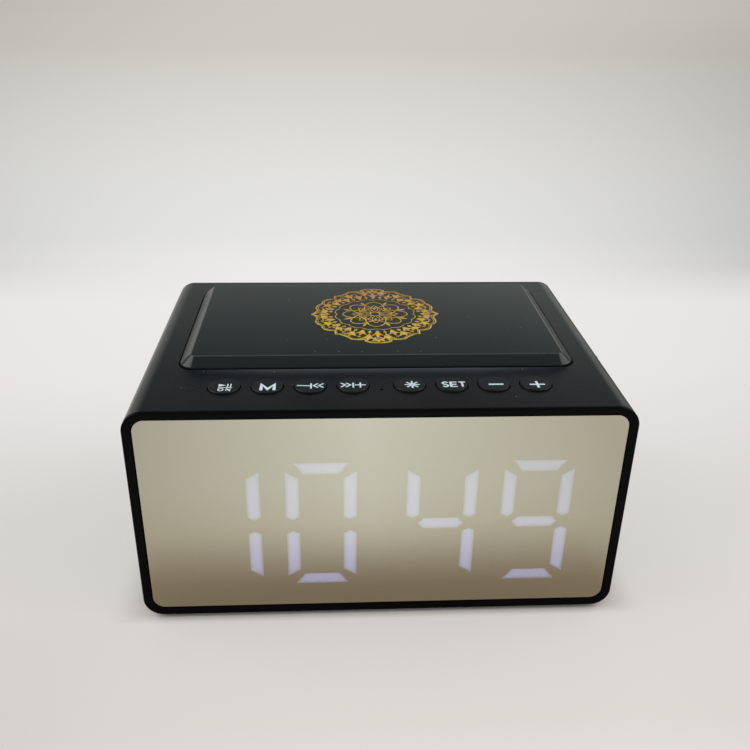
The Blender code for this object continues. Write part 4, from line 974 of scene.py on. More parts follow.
# Points of a quarter of the outline, as shares of its half width and half depth, and the bulge after each
OUTLINE_SHARES = [
    ((1.0, 0.0), 0.10),
    ((0.905, 0.15), -0.2),
    ((0.835, 0.41), -0.26),
    ((0.634, 0.59), 0.0),
    ((0.627, 0.715), 0.0),
    ((0.575, 0.715), 0.06),
    ((0.39, 0.885), -0.03),
    ((0.20, 0.90), 0.0),
    ((0.185, 0.955), -0.12),
    ((0.0, 1.0), 0.0),
]


def bulged(start, end, bulge, steps=6):
    """Points of an arc from start to just before end, whose rise is a share of its chord."""
    if not bulge:
        return [start]
    first, last = Vector(start), Vector(end)
    chord = last - first
    across = Vector((chord.y, -chord.x))
    points = []
    for step in range(steps):
        share = step / steps
        rise = -4 * bulge * share * (1 - share)
        points.append(tuple(first + chord * share + across * rise))
    return points


def ornament_outline(half_width, half_depth, inset=0.0):
    """The ornament's lobed outline, mirrored from one quarter."""
    quarter = []
    for (start, bulge), (end, _) in zip(OUTLINE_SHARES, OUTLINE_SHARES[1:]):
        quarter += bulged(start, end, bulge)
    quarter.append(OUTLINE_SHARES[-1][0])
    half = quarter + [(-x, y) for x, y in reversed(quarter[:-1])]
    whole = half + [(x, -y) for x, y in reversed(half[1:-1])]
    points = [Vector((x * half_width, y * half_depth)) for x, y in whole]
    return [tuple(p * (1 - inset / p.length)) for p in points]


def reach_of(outline, angle):
    """How far a closed outline lies from its centre in one direction."""
    ray = Vector((math.cos(angle), math.sin(angle)))
    best = 0
    for i, point in enumerate(outline):
        start, end = Vector(point), Vector(outline[(i + 1) % len(outline)])
        edge = end - start
        turn = ray.cross(edge)
        if abs(turn) < PARALLEL:
            continue
        along, share = start.cross(edge) / turn, start.cross(ray) / turn
        if 0 <= share <= 1 and along > best:
            best = along
    return best


def leaf(base, tip, width, bend, steps=8):
    """The middle line and widths of a pointed leaf that bends to one side."""
    first, last = Vector(base), Vector(tip)
    chord = last - first
    across = Vector((-chord.y, chord.x))
    points, widths = [], []
    for step in range(steps + 1):
        share = step / steps
        points.append(tuple(first + chord * share + across * bend * 4 * share * (1 - share)))
        widths.append(width * (LEAF_END_SHARE + math.sin(math.pi * share**LEAF_BELLY)))
    return points, widths


def polar(radius, angle):
    """A point at a distance and an angle."""
    return (radius * math.cos(angle), radius * math.sin(angle))


def ring(radius, steps, centre=(0, 0)):
    """The points of a circle."""
    points = [polar(radius, math.tau * step / steps) for step in range(steps)]
    return [(centre[0] + x, centre[1] + y) for x, y in points]


def volute(centre, radius, start, turns, hand, steps=12):
    """A spiral that winds inwards."""
    points = []
    for step in range(steps + 1):
        share = step / steps
        angle = start + hand * turns * math.tau * share
        points.append(tuple(Vector(centre) + Vector(polar(radius * (1 - CURL_SHARE * share), angle))))
    return points


class CLOCK_OT_ornament(Operator):
    """Print the gold ornament on the raised plate"""

    bl_idname = "clock.ornament"
    bl_label = "Gold ornament"

    # The inner ring and the knot as shares of the half width, and the flowers' start as one of the ring
    ring_share, knot_share, start_share = 0.6, 0.5, 1.1
    # The ring's scallops: its radius between them, and their rise, as shares of its radius
    lobes, lobe_steps, lobe_low_share, lobe_rise_share = 16, 8, 0.985, 0.06
    flowers = 20
    fence_inset, fence_gap = 1.0 * MM, 0.2 * MM
    # Widths of the printed lines
    border_line, fence_line, thin_line = 0.54 * MM, 0.22 * MM, 0.3 * MM
    crest_line, curl_line, knot_line, petal_line = 0.45 * MM, 0.4 * MM, 0.42 * MM, 0.34 * MM
    # Widths of leaves and flowers where they are widest
    inner_flower, outer_flower, crest_leaf = 1.5 * MM, 1.7 * MM, 1.3 * MM
    knot_leaf, knot_bud = 0.8 * MM, 1.0 * MM
    # Radii of beads, curls and the round crest
    band_bead, knot_bead, crest_ring = 0.42 * MM, 0.35 * MM, 1.25 * MM
    band_curl, crest_curl = 0.55 * MM, 0.8 * MM
    bead_steps, small_bead_steps, crest_steps, eye_steps = 10, 8, 20, 24
    band_curl_turns, crest_curl_turns = 1.0, 1.2
    # Shares of the way from the inner ring to the outline
    bead_share, outer_start_share, inner_end_share, curl_share = 0.16, 0.4, 0.62, 0.74
    stem_overlap = 0.3 * MM
    # A flower's side leaves: where they start and end, as shares of the pitch and of its length
    root_share, side_share, side_reach_share, side_width_share = 0.06, 0.4, 0.78, 0.62
    side_bend, crest_bend, petal_bend = 0.2, 0.3, 0.2
    # The side crests, measured from the flowers' start and from the outline
    crest_base, crest_tip, core_tip = 1.2 * MM, 0.8 * MM, 2.6 * MM
    curl_place = (2.6 * MM, 2.0 * MM)
    # The front and back crests: their centre, and the leaves' spread and gaps to the outline
    crest_share = 0.86
    leaf_spread, middle_gap, outer_gap = 2.1 * MM, 0.5 * MM, 1.6 * MM
    # The knot: folds, steps of its line, and radii as shares of its own
    folds, knot_steps = 8, 72
    knot_middle_share, knot_swing_share, eye_share, knot_bead_share = 0.74, 0.26, 0.15, 0.5
    petal_shares, leaf_shares, bud_shares = (0.16, 0.72), (0.34, 0.58), (0.8, 1.06)

    def execute(self, context):
        sizes = context.scene.clock_sizes
        gold = hot_foil_gold("hot_foil_gold_print", tuple(context.scene.clock_colours.gold))
        self.low, self.high = PLATE_HIGH.z - 2 * sizes.print_thick, PLATE_HIGH.z
        self.layer = sizes.print_thick / PRINT_LAYERS
        self.shape = bmesh.new()
        middle_y = (PLATE_LOW.y + PLATE_HIGH.y) / 2 + ORNAMENT_SETBACK
        self.place = Matrix.Translation((ORNAMENT_SHIFT, middle_y, 0))
        half_width, half_depth = sizes.ornament_width / 2, sizes.ornament_depth / 2
        radius = half_width * self.ring_share
        fence = ornament_outline(half_width, half_depth, self.fence_inset)
        border = ornament_outline(half_width, half_depth, self.border_line / 2)
        self.line(border, self.border_line, closed=True)
        self.line(fence, self.fence_line, 1, closed=True)
        self.line(self.scallops(radius), self.thin_line, closed=True)
        self.band(radius * self.start_share, fence)
        self.side_crests(half_width, radius * self.start_share)
        self.end_crests(half_depth)
        self.knot(half_width * self.knot_share)
        settle(new_object("gold_ornament", self.shape, [gold]), "casing", "plate_black")
        return {"FINISHED"}

    def line(self, points, widths, level=0, closed=False):
        """One printed line. A higher level lies a hair lower, so that no two faces share a plane."""
        high = self.high - level * self.layer
        add_ribbon(self.shape, points, widths, self.low, high, self.place, closed)

    def leaf(self, base, tip, width, level, bend=0):
        """One filled leaf."""
        points, widths = leaf(base, tip, width, bend)
        self.line(points, widths, level)

    def scallops(self, radius):
        """The lobed ring round the knot."""
        points = []
        for step in range(self.lobes * self.lobe_steps):
            angle = math.tau * step / (self.lobes * self.lobe_steps)
            lift = abs(math.sin(angle * self.lobes / 2))
            points.append(polar(radius * (self.lobe_low_share + self.lobe_rise_share * lift), angle))
        return points

    def flower(self, start, end, angle, pitch, width, level):
        """A bud between two leaves that curl away from it."""
        self.leaf(polar(start, angle), polar(end, angle), width, level)
        reach = start + (end - start) * self.side_reach_share
        for hand in (-1, 1):
            base = polar(start, angle + hand * pitch * self.root_share)
            tip = polar(reach, angle + hand * pitch * self.side_share)
            self.leaf(base, tip, width * self.side_width_share, level + 1, -self.side_bend * hand)

    def band(self, start, fence):
        """Two rows of flowers that fill the space between the inner ring and the outline."""
        pitch = math.tau / self.flowers
        for number in range(self.flowers):
            angle = pitch * number
            breadth = reach_of(fence, angle) - start
            if number % (self.flowers // 2):
                end = start + breadth * self.inner_end_share
                self.flower(start, end, angle, pitch, self.inner_flower, 2)
                curl = polar(start + breadth * self.curl_share, angle)
                spiral = volute(curl, self.band_curl, angle, self.band_curl_turns, 1)
                self.line(spiral, self.thin_line, 4)
            angle += pitch / 2
            end = reach_of(fence, angle) - self.fence_gap
            middle = start + (end - start) * self.outer_start_share
            self.flower(middle, end, angle, pitch, self.outer_flower, 5)
            bead = polar(start + (end - start) * self.bead_share, angle)
            self.line(ring(self.band_bead, self.bead_steps, bead), self.curl_line, 7, True)
            stem = [polar(start, angle), polar(middle + self.stem_overlap, angle)]
            self.line(stem, self.thin_line, 8)

    def side_crests(self, half_width, start):
        """A pointed leaf at either side, with a curl before and behind it."""
        along, aside = self.curl_place
        for hand in (-1, 1):
            base, tip = (hand * (start + self.crest_base), 0), (hand * (half_width - self.crest_tip), 0)
            facing = 0 if hand > 0 else math.pi
            for turn in (-1, 1):
                points, _ = leaf(base, tip, 0, self.crest_bend * turn)
                self.line(points, self.crest_line, 8)
                eye = (hand * (start + along), turn * aside)
                spiral = volute(eye, self.crest_curl, facing, self.crest_curl_turns, turn * hand)
                self.line(spiral, self.curl_line, 13)
            self.leaf(base, (hand * (half_width - self.core_tip), 0), self.crest_leaf, 9)

    def end_crests(self, half_depth):
        """A round crest with three leaves at the front and at the back."""
        for hand in (-1, 1):
            centre = (0, hand * half_depth * self.crest_share)
            self.line(ring(self.crest_ring, self.crest_steps, centre), self.crest_line, 10, closed=True)
            for turn, gap in ((-1, self.outer_gap), (0, self.middle_gap), (1, self.outer_gap)):
                self.leaf(centre, (turn * self.leaf_spread, hand * (half_depth - gap)), self.crest_leaf, 11)

    def knot(self, radius):
        """A plain eight-fold knot with petals, in the middle of the ornament."""
        turns = [math.tau * step / self.knot_steps for step in range(self.knot_steps)]
        half_pitch = math.pi / self.folds
        for level in range(2):
            loop = []
            for turn in turns:
                swing = self.knot_swing_share * math.cos(self.folds / 2 * turn)
                loop.append(polar(radius * (self.knot_middle_share + swing), turn + level * 2 * half_pitch))
            self.line(loop, self.knot_line, level, closed=True)
        for number in range(self.folds):
            angle = math.tau * number / self.folds
            bud = angle + half_pitch
            base, tip = [polar(radius * share, angle) for share in self.petal_shares]
            for hand in (-1, 1):
                points, _ = leaf(base, tip, 0, self.petal_bend * hand)
                self.line(points, self.petal_line, 3)
            self.leaf(*[polar(radius * share, angle) for share in self.leaf_shares], self.knot_leaf, 4)
            self.leaf(*[polar(radius * share, bud) for share in self.bud_shares], self.knot_bud, 5)
            bead = polar(radius * self.knot_bead_share, bud)
            self.line(ring(self.knot_bead, self.small_bead_steps, bead), self.thin_line, 6, closed=True)
        self.line(ring(radius * self.eye_share, self.eye_steps), self.curl_line, 7, closed=True)


def printed_marks():
    """The marks of the eight keys in millimetres: line width, shift, lines, and wedges with a breadth."""
    star = [[polar(0.2, math.tau * step / 8), polar(2.25, math.tau * step / 8)] for step in range(8)]
    upper = edge_arc((-2.5, 0.8), 0.75, 20, 250, 8)
    lower = edge_arc((-2.5, -0.75), 0.75, 80, -160, 8)
    letter_o = ring(0.74, 12, (-1.0, -1.45))
    play = [
        [(0.8, -0.1), (0.8, 2.2)],
        [(1.7, -0.1), (1.7, 2.2)],
        [(-1.95, -0.2), (2.25, -0.2)],
        [*letter_o, letter_o[0]],
        [(0.6, -2.2), (0.6, -0.8), (1.75, -2.2), (1.75, -0.8)],
    ]
    letter_m = [[(-1.9, -1.95), (-1.9, 1.75), (0, -1.3), (1.9, 1.75), (1.9, -1.95)]]
    last = [
        [(-3.9, 0.15), (0.1, -0.1)],
        [(0.25, -1.9), (0.25, 1.4)],
        [(2.3, 1.3), (0.95, 0), (2.3, -1.3)],
        [(3.9, 1.3), (2.55, 0), (3.9, -1.3)],
    ]
    next_up = [
        [(-3.65, 1.3), (-2.3, 0), (-3.65, -1.3)],
        [(-2.15, 1.3), (-0.8, 0), (-2.15, -1.3)],
        [(0, -1.7), (0, 1.4)],
        [(0.5, 0), (3.7, 0)],
        [(2.1, -1.7), (2.1, 1.5)],
    ]
    set_time = [
        upper + lower,
        [(1.0, 1.45), (-0.85, 1.45), (-0.85, -1.45), (1.0, -1.45)],
        [(-0.85, 0), (0.8, 0)],
        [(1.55, 1.45), (3.55, 1.45)],
        [(2.55, 1.45), (2.55, -1.6)],
    ]
    less = [[(-2.2, 0), (2.2, 0)]]
    more = [[(-2.3, 0), (2.3, 0)], [(0, -2.1), (0, 2.1)]]
    return [
        (0.36, (0.3, -1.1), play, [((-1.85, 1.3), (0.2, 1.3), 1.8)]),
        (0.95, (0.25, -1.25), letter_m, []),
        (0.5, (0, -0.5), last, []),
        (0.5, (0.05, -0.3), next_up, []),
        (0.5, (0.75, -0.4), star, []),
        (0.6, (0.5, -0.5), set_time, []),
        (0.8, (0.5, -0.75), less, []),
        (0.75, (0.25, -1.05), more, []),
    ]


class CLOCK_OT_keys(Operator):
    """Build the eight keys with their printed marks"""

    bl_idname = "clock.keys"
    bl_label = "Keys"

    def execute(self, context):
        sizes = context.scene.clock_sizes
        colour = tuple(context.scene.clock_colours.keys)
        black = satin_moulded_abs("satin_moulded_abs_keys", colour, KEY_ROUGHNESS)
        wall = plain_finish("painted_shade_key_wall")
        ink = pad_printed_ink("pad_printed_ink", tuple(context.scene.clock_colours.key_ink))
        for number, (width, shift, lines, wedges) in enumerate(printed_marks(), start=1):
            node = f"key_cap_{number}"
            low, high, middle = measured(node)
            place = axis_through(middle, "z")
            flange_radius = (high.x - low.x) / 2
            soft = sizes.edge_round
            flange = TOP_Z - WALL - FIT_GAP
            top = high.z
            profile = [
                (0, top),
                *edge_arc((KEY_RADIUS - soft, top - soft), soft, 90, 0, KEY_EDGE_STEPS),
                (KEY_RADIUS, flange),
                (flange_radius, flange),
                (flange_radius, flange - KEY_FLANGE_THICK),
                (KEY_STEM_RADIUS, flange - KEY_FLANGE_THICK),
                (KEY_STEM_RADIUS, low.z),
                (0, low.z),
            ]
            shape = bmesh.new()
            add_turned(shape, profile, KEY_SIDES, place)
            # Painted shade: the key's side wall, and the flange and stem below it, take the darker wall
            # finish.
            for face in shape.faces:
                face.material_index = int(abs(face.calc_center_median().z - top) > soft)
            body = f"key_{number}"
            settle(new_object(f"key_{number}_cap", shape, [black, wall]), body, "key_black", node)

            marks = bmesh.new()
            place @= Matrix.Translation((shift[0] * MM, shift[1] * MM, 0))
            under = top - sizes.print_thick
            for index, line in enumerate(lines):
                points = [(x * MM, y * MM) for x, y in line]
                lift = sizes.print_thick * (1 - index / PRINT_LAYERS)
                self.add_mark(marks, points, width * MM, under, top + lift, place)
            for (start_x, start_y), (end_x, end_y), breadth in wedges:
                points = [(start_x * MM, start_y * MM), (end_x * MM, end_y * MM)]
                add_ribbon(marks, points, [breadth * MM, WEDGE_TIP], under, top + sizes.print_thick, place)
            settle(new_object(f"key_{number}_mark", marks, [ink]), body, "key_black")
        dress("microphone", plain_finish("felt_faced_capsule"))
        return {"FINISHED"}

    def add_mark(self, shape, points, width, low, high, place):
        """A printed line with square ends and mitred corners."""
        closed = points[0] == points[-1] and len(points) > 3
        if closed:
            points = points[:-1]
        count = len(points)
        widths = []
        for i, point in enumerate(points):
            if not closed and i in (0, count - 1):
                widths.append(width)
                continue
            one = (Vector(point) - Vector(points[i - 1])).normalized()
            two = (Vector(points[(i + 1) % count]) - Vector(point)).normalized()
            half_turn = one.angle(two) / 2
            widths.append(width / max(MITRE_LIMIT, math.cos(half_turn)))
        add_ribbon(shape, points, widths, low, high, place, closed)


class CLOCK_OT_side_button(Operator):
    """Build the round button on the right wall"""

    bl_idname = "clock.side_button"
    bl_label = "Side button"

    def execute(self, context):
        black = bpy.data.materials["satin_moulded_abs_keys"]
        low, high, middle = measured("power_button")
        flange_radius = (high.z - low.z) / 2
        flange_low = low.x + SIDE_FLANGE_PLACE
        flange_high = flange_low + SIDE_FLANGE_THICK
        soft, top = SIDE_BUTTON_ROUND, high.x
        profile = [(SIDE_BUTTON_RADIUS * out, top - SIDE_BUTTON_DISH * deep) for out, deep in DISH_SHARES]
        profile += [
            *edge_arc((SIDE_BUTTON_RADIUS - soft, top - soft), soft, 90, 0, KEY_EDGE_STEPS),
            (SIDE_BUTTON_RADIUS, flange_high),
            (flange_radius, flange_high),
            (flange_radius, flange_low),
            (KEY_STEM_RADIUS, flange_low),
            (KEY_STEM_RADIUS, low.x),
            (0, low.x),
        ]
        place = axis_through(middle, "x")
        cap = turned_object("side_button_cap", profile, KEY_SIDES, place, black)
        settle(cap, "side_button", "key_black", "power_button")
        return {"FINISHED"}


class CLOCK_OT_rear_cover(Operator):
    """Build the rear cover with its grilles, sockets' mouths and screws"""

    bl_idname = "clock.rear_cover"
    bl_label = "Rear cover"

    def execute(self, context):
        sizes = context.scene.clock_sizes
        rim, soft = sizes.rim_break, sizes.edge_round
        black = bpy.data.materials["satin_moulded_abs_casing"]
        steel = plain_finish("blackened_screw_steel")
        front, back = COVER_HIGH.y - COVER_THICK, COVER_HIGH.y
        shape = bmesh.new()
        inset = BACK_LIP + FIT_GAP
        levels = [(inset, front), (inset, back - soft), (inset + soft, back)]
        add_loops(shape, [case_loop(inset, y) for inset, y in levels])
        cover = new_object("grille_cover", shape, [black])
        holes = bmesh.new()
        for side in ("left", "right"):
            *_, middle = measured(f"speaker_{side}_frame")
            self.add_slots(holes, middle.x, middle.z, front, back, rim)
        low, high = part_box("usb_socket")
        self.add_mouth(holes, low, high, front, back, rim)
        _, high, middle = measured("card_socket")
        half = Vector((high.x - middle.x - CARD_SIDE_WALL, 0, CARD_SLOT_HEIGHT / 2))
        self.add_mouth(holes, middle - half, middle + half, front, back, rim)
        *_, middle = measured("aux_socket")
        profile = turned_hole(AUX_COLLAR + FIT_GAP, rim, front - OVERRUN, back)
        add_turned(holes, profile, SMALL_SIDES, axis_through(middle, "y"))
        for number in range(1, 5):
            *_, middle = measured(f"rear_screw_{number}")
            sink = back - SCREW_SINK - SCREW_HEAD - FIT_GAP
            thread = SCREW_RADIUS + FIT_GAP
            profile = [(0, front - OVERRUN), (thread, front - OVERRUN), (thread, sink)]
            profile += turned_hole(SCREW_HEAD_RADIUS + FIT_GAP, rim, sink, back)[1:]
            add_turned(holes, profile, SMALL_SIDES, axis_through(middle, "y"))
        combine(cover, holes)
        settle(cover, "casing", "casing_black", "rear_cover")
        for number in range(1, 5):
            self.screw(number, back, soft, steel)
        return {"FINISHED"}

    def add_slots(self, shape, centre_x, centre_z, front, back, rim):
        """Upright slots with round ends and a small chamfer, shortened towards the speaker's rim."""
        for number in range(-SLOTS_EACH_SIDE, SLOTS_EACH_SIDE + 1):
            x = centre_x + number * SLOT_PITCH
            half = math.sqrt(GRILLE_RADIUS**2 - (number * SLOT_PITCH) ** 2)
            outlines = []
            for grow in (0, 0, rim + OVERRUN):
                width = SLOT_WIDTH / 2 + grow
                round_end = (width - HAIR, (x, centre_z), SMALL_CORNER_STEPS)
                outlines.append(rounded_outline(width, half + grow, *round_end))
            add_flared_prism(shape, outlines, (front - OVERRUN, back - rim, back + OVERRUN))

    def add_mouth(self, shape, low, high, front, back, rim):
        """A socket's mouth in the cover, with round corners and a small chamfer."""
        centre = ((low.x + high.x) / 2, (low.z + high.z) / 2)
        outlines = []
        for grow in (0, 0, rim + OVERRUN):
            margin = PORT_MARGIN + grow
            half_width, half_height = (high.x - low.x) / 2 + margin, (high.z - low.z) / 2 + margin
            outline = rounded_outline(half_width, half_height, margin, centre, SMALL_CORNER_STEPS)
            outlines.append(outline)
        add_flared_prism(shape, outlines, (front - OVERRUN, back - rim, back + OVERRUN))

    def screw(self, number, back, soft, steel):
        """A pan-head screw with a cross recess."""
        node = f"rear_screw_{number}"
        low, high, middle = measured(node)
        head = high.y - SCREW_HEAD
        out_share, drop_share = SCREW_DOME_SHARES
        profile = [
            (0, low.y),
            (SCREW_RADIUS, low.y + SCREW_RADIUS),
            (SCREW_RADIUS, head),
            *edge_arc((SCREW_HEAD_RADIUS - soft, head + soft), soft, -90, 0),
            *edge_arc((SCREW_HEAD_RADIUS - 2 * soft, high.y - 3 * soft), 2 * soft, 0, 80),
            (SCREW_HEAD_RADIUS * out_share, high.y - soft * drop_share),
            (0, high.y),
        ]
        place = axis_through(middle, "y")
        made = turned_object(f"cover_screw_{number}", profile, SMALL_SIDES, place, steel)
        cross = bmesh.new()
        half = CROSS_WIDTH / 2
        plus = [(half, half), (half, CROSS_ARM), (-half, CROSS_ARM), (-half, half)]
        plus += [(-CROSS_ARM, half), (-CROSS_ARM, -half)]
        plus += [(-u, -v) for u, v in plus]
        outline = [(middle.x + u, middle.z + v) for u, v in plus]
        add_prism(cross, outline, high.y - CROSS_DEPTH, back + OVERRUN)
        combine(made, cross)
        settle(made, "casing", "dark_steel", node)


class CLOCK_OT_speakers(Operator):
    """Build the speaker cones and surrounds that show through the grilles"""

    bl_idname = "clock.speakers"
    bl_label = "Speakers"

    def execute(self, context):
        paper = pressed_paper("pressed_paper_cone")
        rubber = plain_finish("moulded_rubber_surround")
        steel = plain_finish("blackened_basket_steel")
        ferrite = plain_finish("sintered_ferrite")
        for side in ("left", "right"):
            dress(f"speaker_{side}_frame", steel)
            dress(f"speaker_{side}_magnet", ferrite)
            self.cone(side, paper)
            self.surround(side, rubber)
        return {"FINISHED"}

    def cone(self, side, paper):
        """A paper cone with three pressed ribs, a dust cap and its coil."""
        node = f"speaker_{side}_cone"
        low, high, middle = measured(node)
        radius = (high.x - low.x) / 2
        cap, coil = DUST_CAP_RADIUS, COIL_RADIUS
        cone_low, cap_high = high.y - CONE_DEPTH, high.y - DUST_CAP_RISE
        profile = []
        for step in range(DUST_CAP_STEPS):
            share = step / DUST_CAP_STEPS
            profile.append((cap * share, cap_high - DUST_CAP_RISE * share**2))
        profile.append((cap, cone_low))
        for step in range(1, CONE_STEPS + 1):
            share = step / CONE_STEPS
            ripple = RIB_HEIGHT * math.sin(math.tau * share * RIBS) if step < CONE_STEPS else 0
            profile.append((cap + (radius - cap) * share, cone_low + CONE_DEPTH * share - abs(ripple)))
        profile += [
            (radius, high.y - CONE_THICK),
            (cap, cone_low - CONE_THICK),
            (coil, cone_low - CONE_THICK),
            (coil, low.y),
            (coil - COIL_THICK, low.y),
            (coil - COIL_THICK, cone_low),
            (0, cap_high - CONE_THICK),
        ]
        place = axis_through(middle, "y")
        made = turned_object(f"{side}_paper_cone", profile, KEY_SIDES, place, paper)
        settle(made, f"{side}_cone", "cone_paper", node)

    def surround(self, side, rubber):
        """The rubber half-roll between cone and basket."""
        node = f"speaker_{side}_surround"
        low, high, middle = measured(node)
        outer = (high.x - low.x) / 2
        centre, half = outer - ROLL_WIDTH / 2, ROLL_WIDTH / 2
        profile = []
        for inwards, start, end in ((0, 0, 180), (ROLL_THICK, 180, 0)):
            reach, lift = half - inwards, high.y - low.y - inwards
            for turn in arc_turns(start, end, ROLL_STEPS):
                profile.append((centre + reach * math.cos(turn), low.y + lift * math.sin(turn)))
        place = axis_through(middle, "y")
        made = turned_object(f"{side}_rubber_roll", profile, KEY_SIDES, place, rubber)
        settle(made, "casing", "rubber_black", node)


class CLOCK_OT_feet(Operator):
    """Build the four rubber feet"""

    bl_idname = "clock.feet"
    bl_label = "Feet"

    def execute(self, context):
        rubber = plain_finish("moulded_rubber_feet")
        soft = FOOT_ROUND
        for number in range(1, 5):
            node = f"foot_{number}"
            low, high, middle = measured(node)
            profile = [
                (0, low.z),
                *edge_arc((FOOT_RADIUS - soft, low.z + soft), soft, -90, 0, KEY_EDGE_STEPS),
                (FOOT_RADIUS, high.z),
                (0, high.z),
            ]
            place = axis_through(middle, "z")
            made = turned_object(f"rubber_foot_{number}", profile, KEY_SIDES, place, rubber)
            settle(made, "casing", "rubber_black", node)
        return {"FINISHED"}


class CLOCK_OT_inner_parts(Operator):
    """Give the boards, switches, sockets and battery their finishes"""

    bl_idname = "clock.inner_parts"
    bl_label = "Inner parts"

    def execute(self, context):
        board = solder_resist("solder_resist")
        grey = plain_finish("moulded_switch_nylon")
        steel = plain_finish("tin_plated_steel")
        black = plain_finish("moulded_socket_nylon")
        sleeve = plain_finish("heat_shrunk_sleeve")
        finishes = {
            "key_board": board,
            "power_board": board,
            "main_board": board,
            "power_switch": grey,
            "usb_socket": steel,
            "card_socket": steel,
            "aux_socket": black,
            "battery": sleeve,
            "battery_holder": black,
        }
        for number in range(1, 9):
            finishes[f"key_switch_{number}"] = grey
        for node, material in finishes.items():
            dress(node, material)
        return {"FINISHED"}


class CLOCK_OT_stage(Operator):
    """Build the floor, the lights and the camera"""

    bl_idname = "clock.stage"
    bl_label = "Stage"

    # Depths in metres, with the floor's colour there
    floor_stops = ((-0.19, "EDEEEE"), (-0.125, "E8E8E7"), (-0.1, "E0DDD8"), (-0.02, "E1DFDB"))
    floor_stops += ((0.12, "EDEBEA"), (0.3, "EDECEC"), (0.36, "E7E7E6"), (0.9, "E2E1DC"), (2.0, "D9D7CF"))
    floor_near, floor_far = -0.2, 2.0
    floor_radii, floor_sides = (1.0, 12.0), 48
    # Sines of the elevation, with the room's colour there: a pale wall under a dim ceiling
    room_stops = ((0.0, "C9C7C0"), (0.3, "C2C6C2"), (0.345, "A3AAA8"), (0.385, "687272"), (0.43, "2C3236"))
    room_stops += ((0.48, "171B1E"), (0.8, "1E2225"), (1.0, "9A9C9D"))
    # Changes, each from one place to another, with the values there where they aren't 0 and 1
    room_rise, room_fall = (-0.3, 0.3, 0.85, 1.15), (0.45, 0.8, 1.0, 0.45)
    pool_drift = (0.9, 4.0, -0.03, 0.06)
    near_fade, far_fade = (-0.05, -0.11, 0.5, 2.5), (0.22, 0.29, 0.0, 1.5)
    right_across, right_depth = (0, 0.1), (0.1, -0.05)
    dim_across, dim_depth = (0.06, 0.1), (-0.04, 0)
    shade_reach = (52 * MM, 8 * MM)
    shadow_edge = (-2 * MM, 25 * MM)
    # The pool's width at the clock, its growth with depth, and the most that its sides lose
    pool_width, pool_growth, pool_loss = 0.33, 1.45, 0.4
    side_reach_share = 1.5
    right_share, dim_share, side_share, own_share = 0.06, 0.65, 0.45, 0.62
    # How much faster than behind the clock its shadow ends at its sides and in front
    side_pace, front_pace = 2, 8
    paint, shade_paint, side_paint, even_light = "E4E1DD", "968879", "918467", "F4F3F1"
    even_strength = 0.74
    lamp_height, lamp_size = 0.75, 0.7
    lamps = (("left_softbox", -0.75, 3.4), ("right_softbox", 0.75, 2.8))
    lamp_depth = 0.05
    clip_start = 0.01

    def execute(self, context):
        self.floor()
        self.world(context.scene)
        for name, across, power in self.lamps:
            self.lamp(name, (across, self.lamp_depth, self.lamp_height), power)
        self.camera(context.scene)
        context.scene.view_settings.view_transform = "Standard"
        return {"FINISHED"}

    def floor(self):
        """A wide plain floor of matt paint in a pool of light."""
        shape = bmesh.new()
        outlines = [ring(radius, self.floor_sides) for radius in self.floor_radii]
        inner, outer = [[shape.verts.new((x, y, 0)) for x, y in outline] for outline in outlines]
        shape.faces.new(inner)
        for i in range(self.floor_sides):
            j = (i + 1) % self.floor_sides
            shape.faces.new((inner[i], inner[j], outer[j], outer[i]))
        matt = {"Specular IOR Level": 0.1}
        material, tree, shader = new_material("painted_studio_floor", linear(self.paint), 0.9, matt)
        add = partial(add_node, tree)
        axes = add("SeparateXYZ", {}, add("TexCoord", {}).outputs["Object"]).outputs
        across, depth = axes["X"], axes["Y"]
        beside, ahead = add("Math", SIZE_OF, across), add("Math", MINUS, FRONT_Y, depth)
        in_gloss = add("LightPath", {}).outputs["Is Glossy Ray"]
        painted = self.pool_of_light(add, across, depth, in_gloss)
        painted = self.shaded_for_gloss(add, painted, beside, ahead, in_gloss)
        # Part of the floor's paleness is its own, but not by the clock, whose shadow stays.
        past = add("Math", TIMES, add("Math", MINUS, beside, SHELL_HIGH.x), self.side_pace)
        past_front = add("Math", TIMES, ahead, self.front_pace)
        for distance in (add("Math", MINUS, depth, BACK_Y), past_front):
            past = add("Math", LARGER, past, distance)
        own = add("Math", TIMES, seen_directly(tree), self.own_share)
        own = add("Math", TIMES, own, add("MapRange", SMOOTH, past, *self.shadow_edge))
        rest = add("Math", MINUS, 1, own)
        feed(shader.inputs["Base Color"], add("Mix", COLOURS, rest, BLACK, painted))
        feed(shader.inputs["Emission Color"], painted)
        feed(shader.inputs["Emission Strength"], own)
        new_object("studio_floor", shape, [material])

    def pool_of_light(self, add, across, depth, in_gloss):
        """The floor's colour in a pool of light, palest a little way behind the clock."""
        reach = self.floor_far - self.floor_near
        base = add("ValToRGB", {}, add("MapRange", {}, depth, self.floor_near, self.floor_far))
        stops = [((y - self.floor_near) / reach, colour) for y, colour in self.floor_stops]
        set_stops(base.color_ramp, stops)
        # The pool widens towards the back, and fades to both sides.
        width = add("Math", TIMES, add("Math", SIZE_OF, depth), self.pool_growth)
        width = add("Math", PLUS, width, self.pool_width)
        drift = add("Math", TIMES, depth, add("MapRange", {}, depth, *self.pool_drift))
        off = add("Math", OVER, add("Math", MINUS, across, drift), width)
        spread = add("MapRange", {}, depth, *self.near_fade)
        spread = add("Math", PLUS, spread, add("MapRange", {}, depth, *self.far_fade))
        fade = add("Math", TIMES, add("Math", TIMES, off, off), spread)
        level = add("Math", MINUS, 1, add("Math", SMALLER, fade, self.pool_loss))
        right = add("MapRange", {}, across, *self.right_across)
        right = add("Math", TIMES, right, add("MapRange", {}, depth, *self.right_depth))
        level = add("Math", PLUS, level, add("Math", TIMES, right, self.right_share))
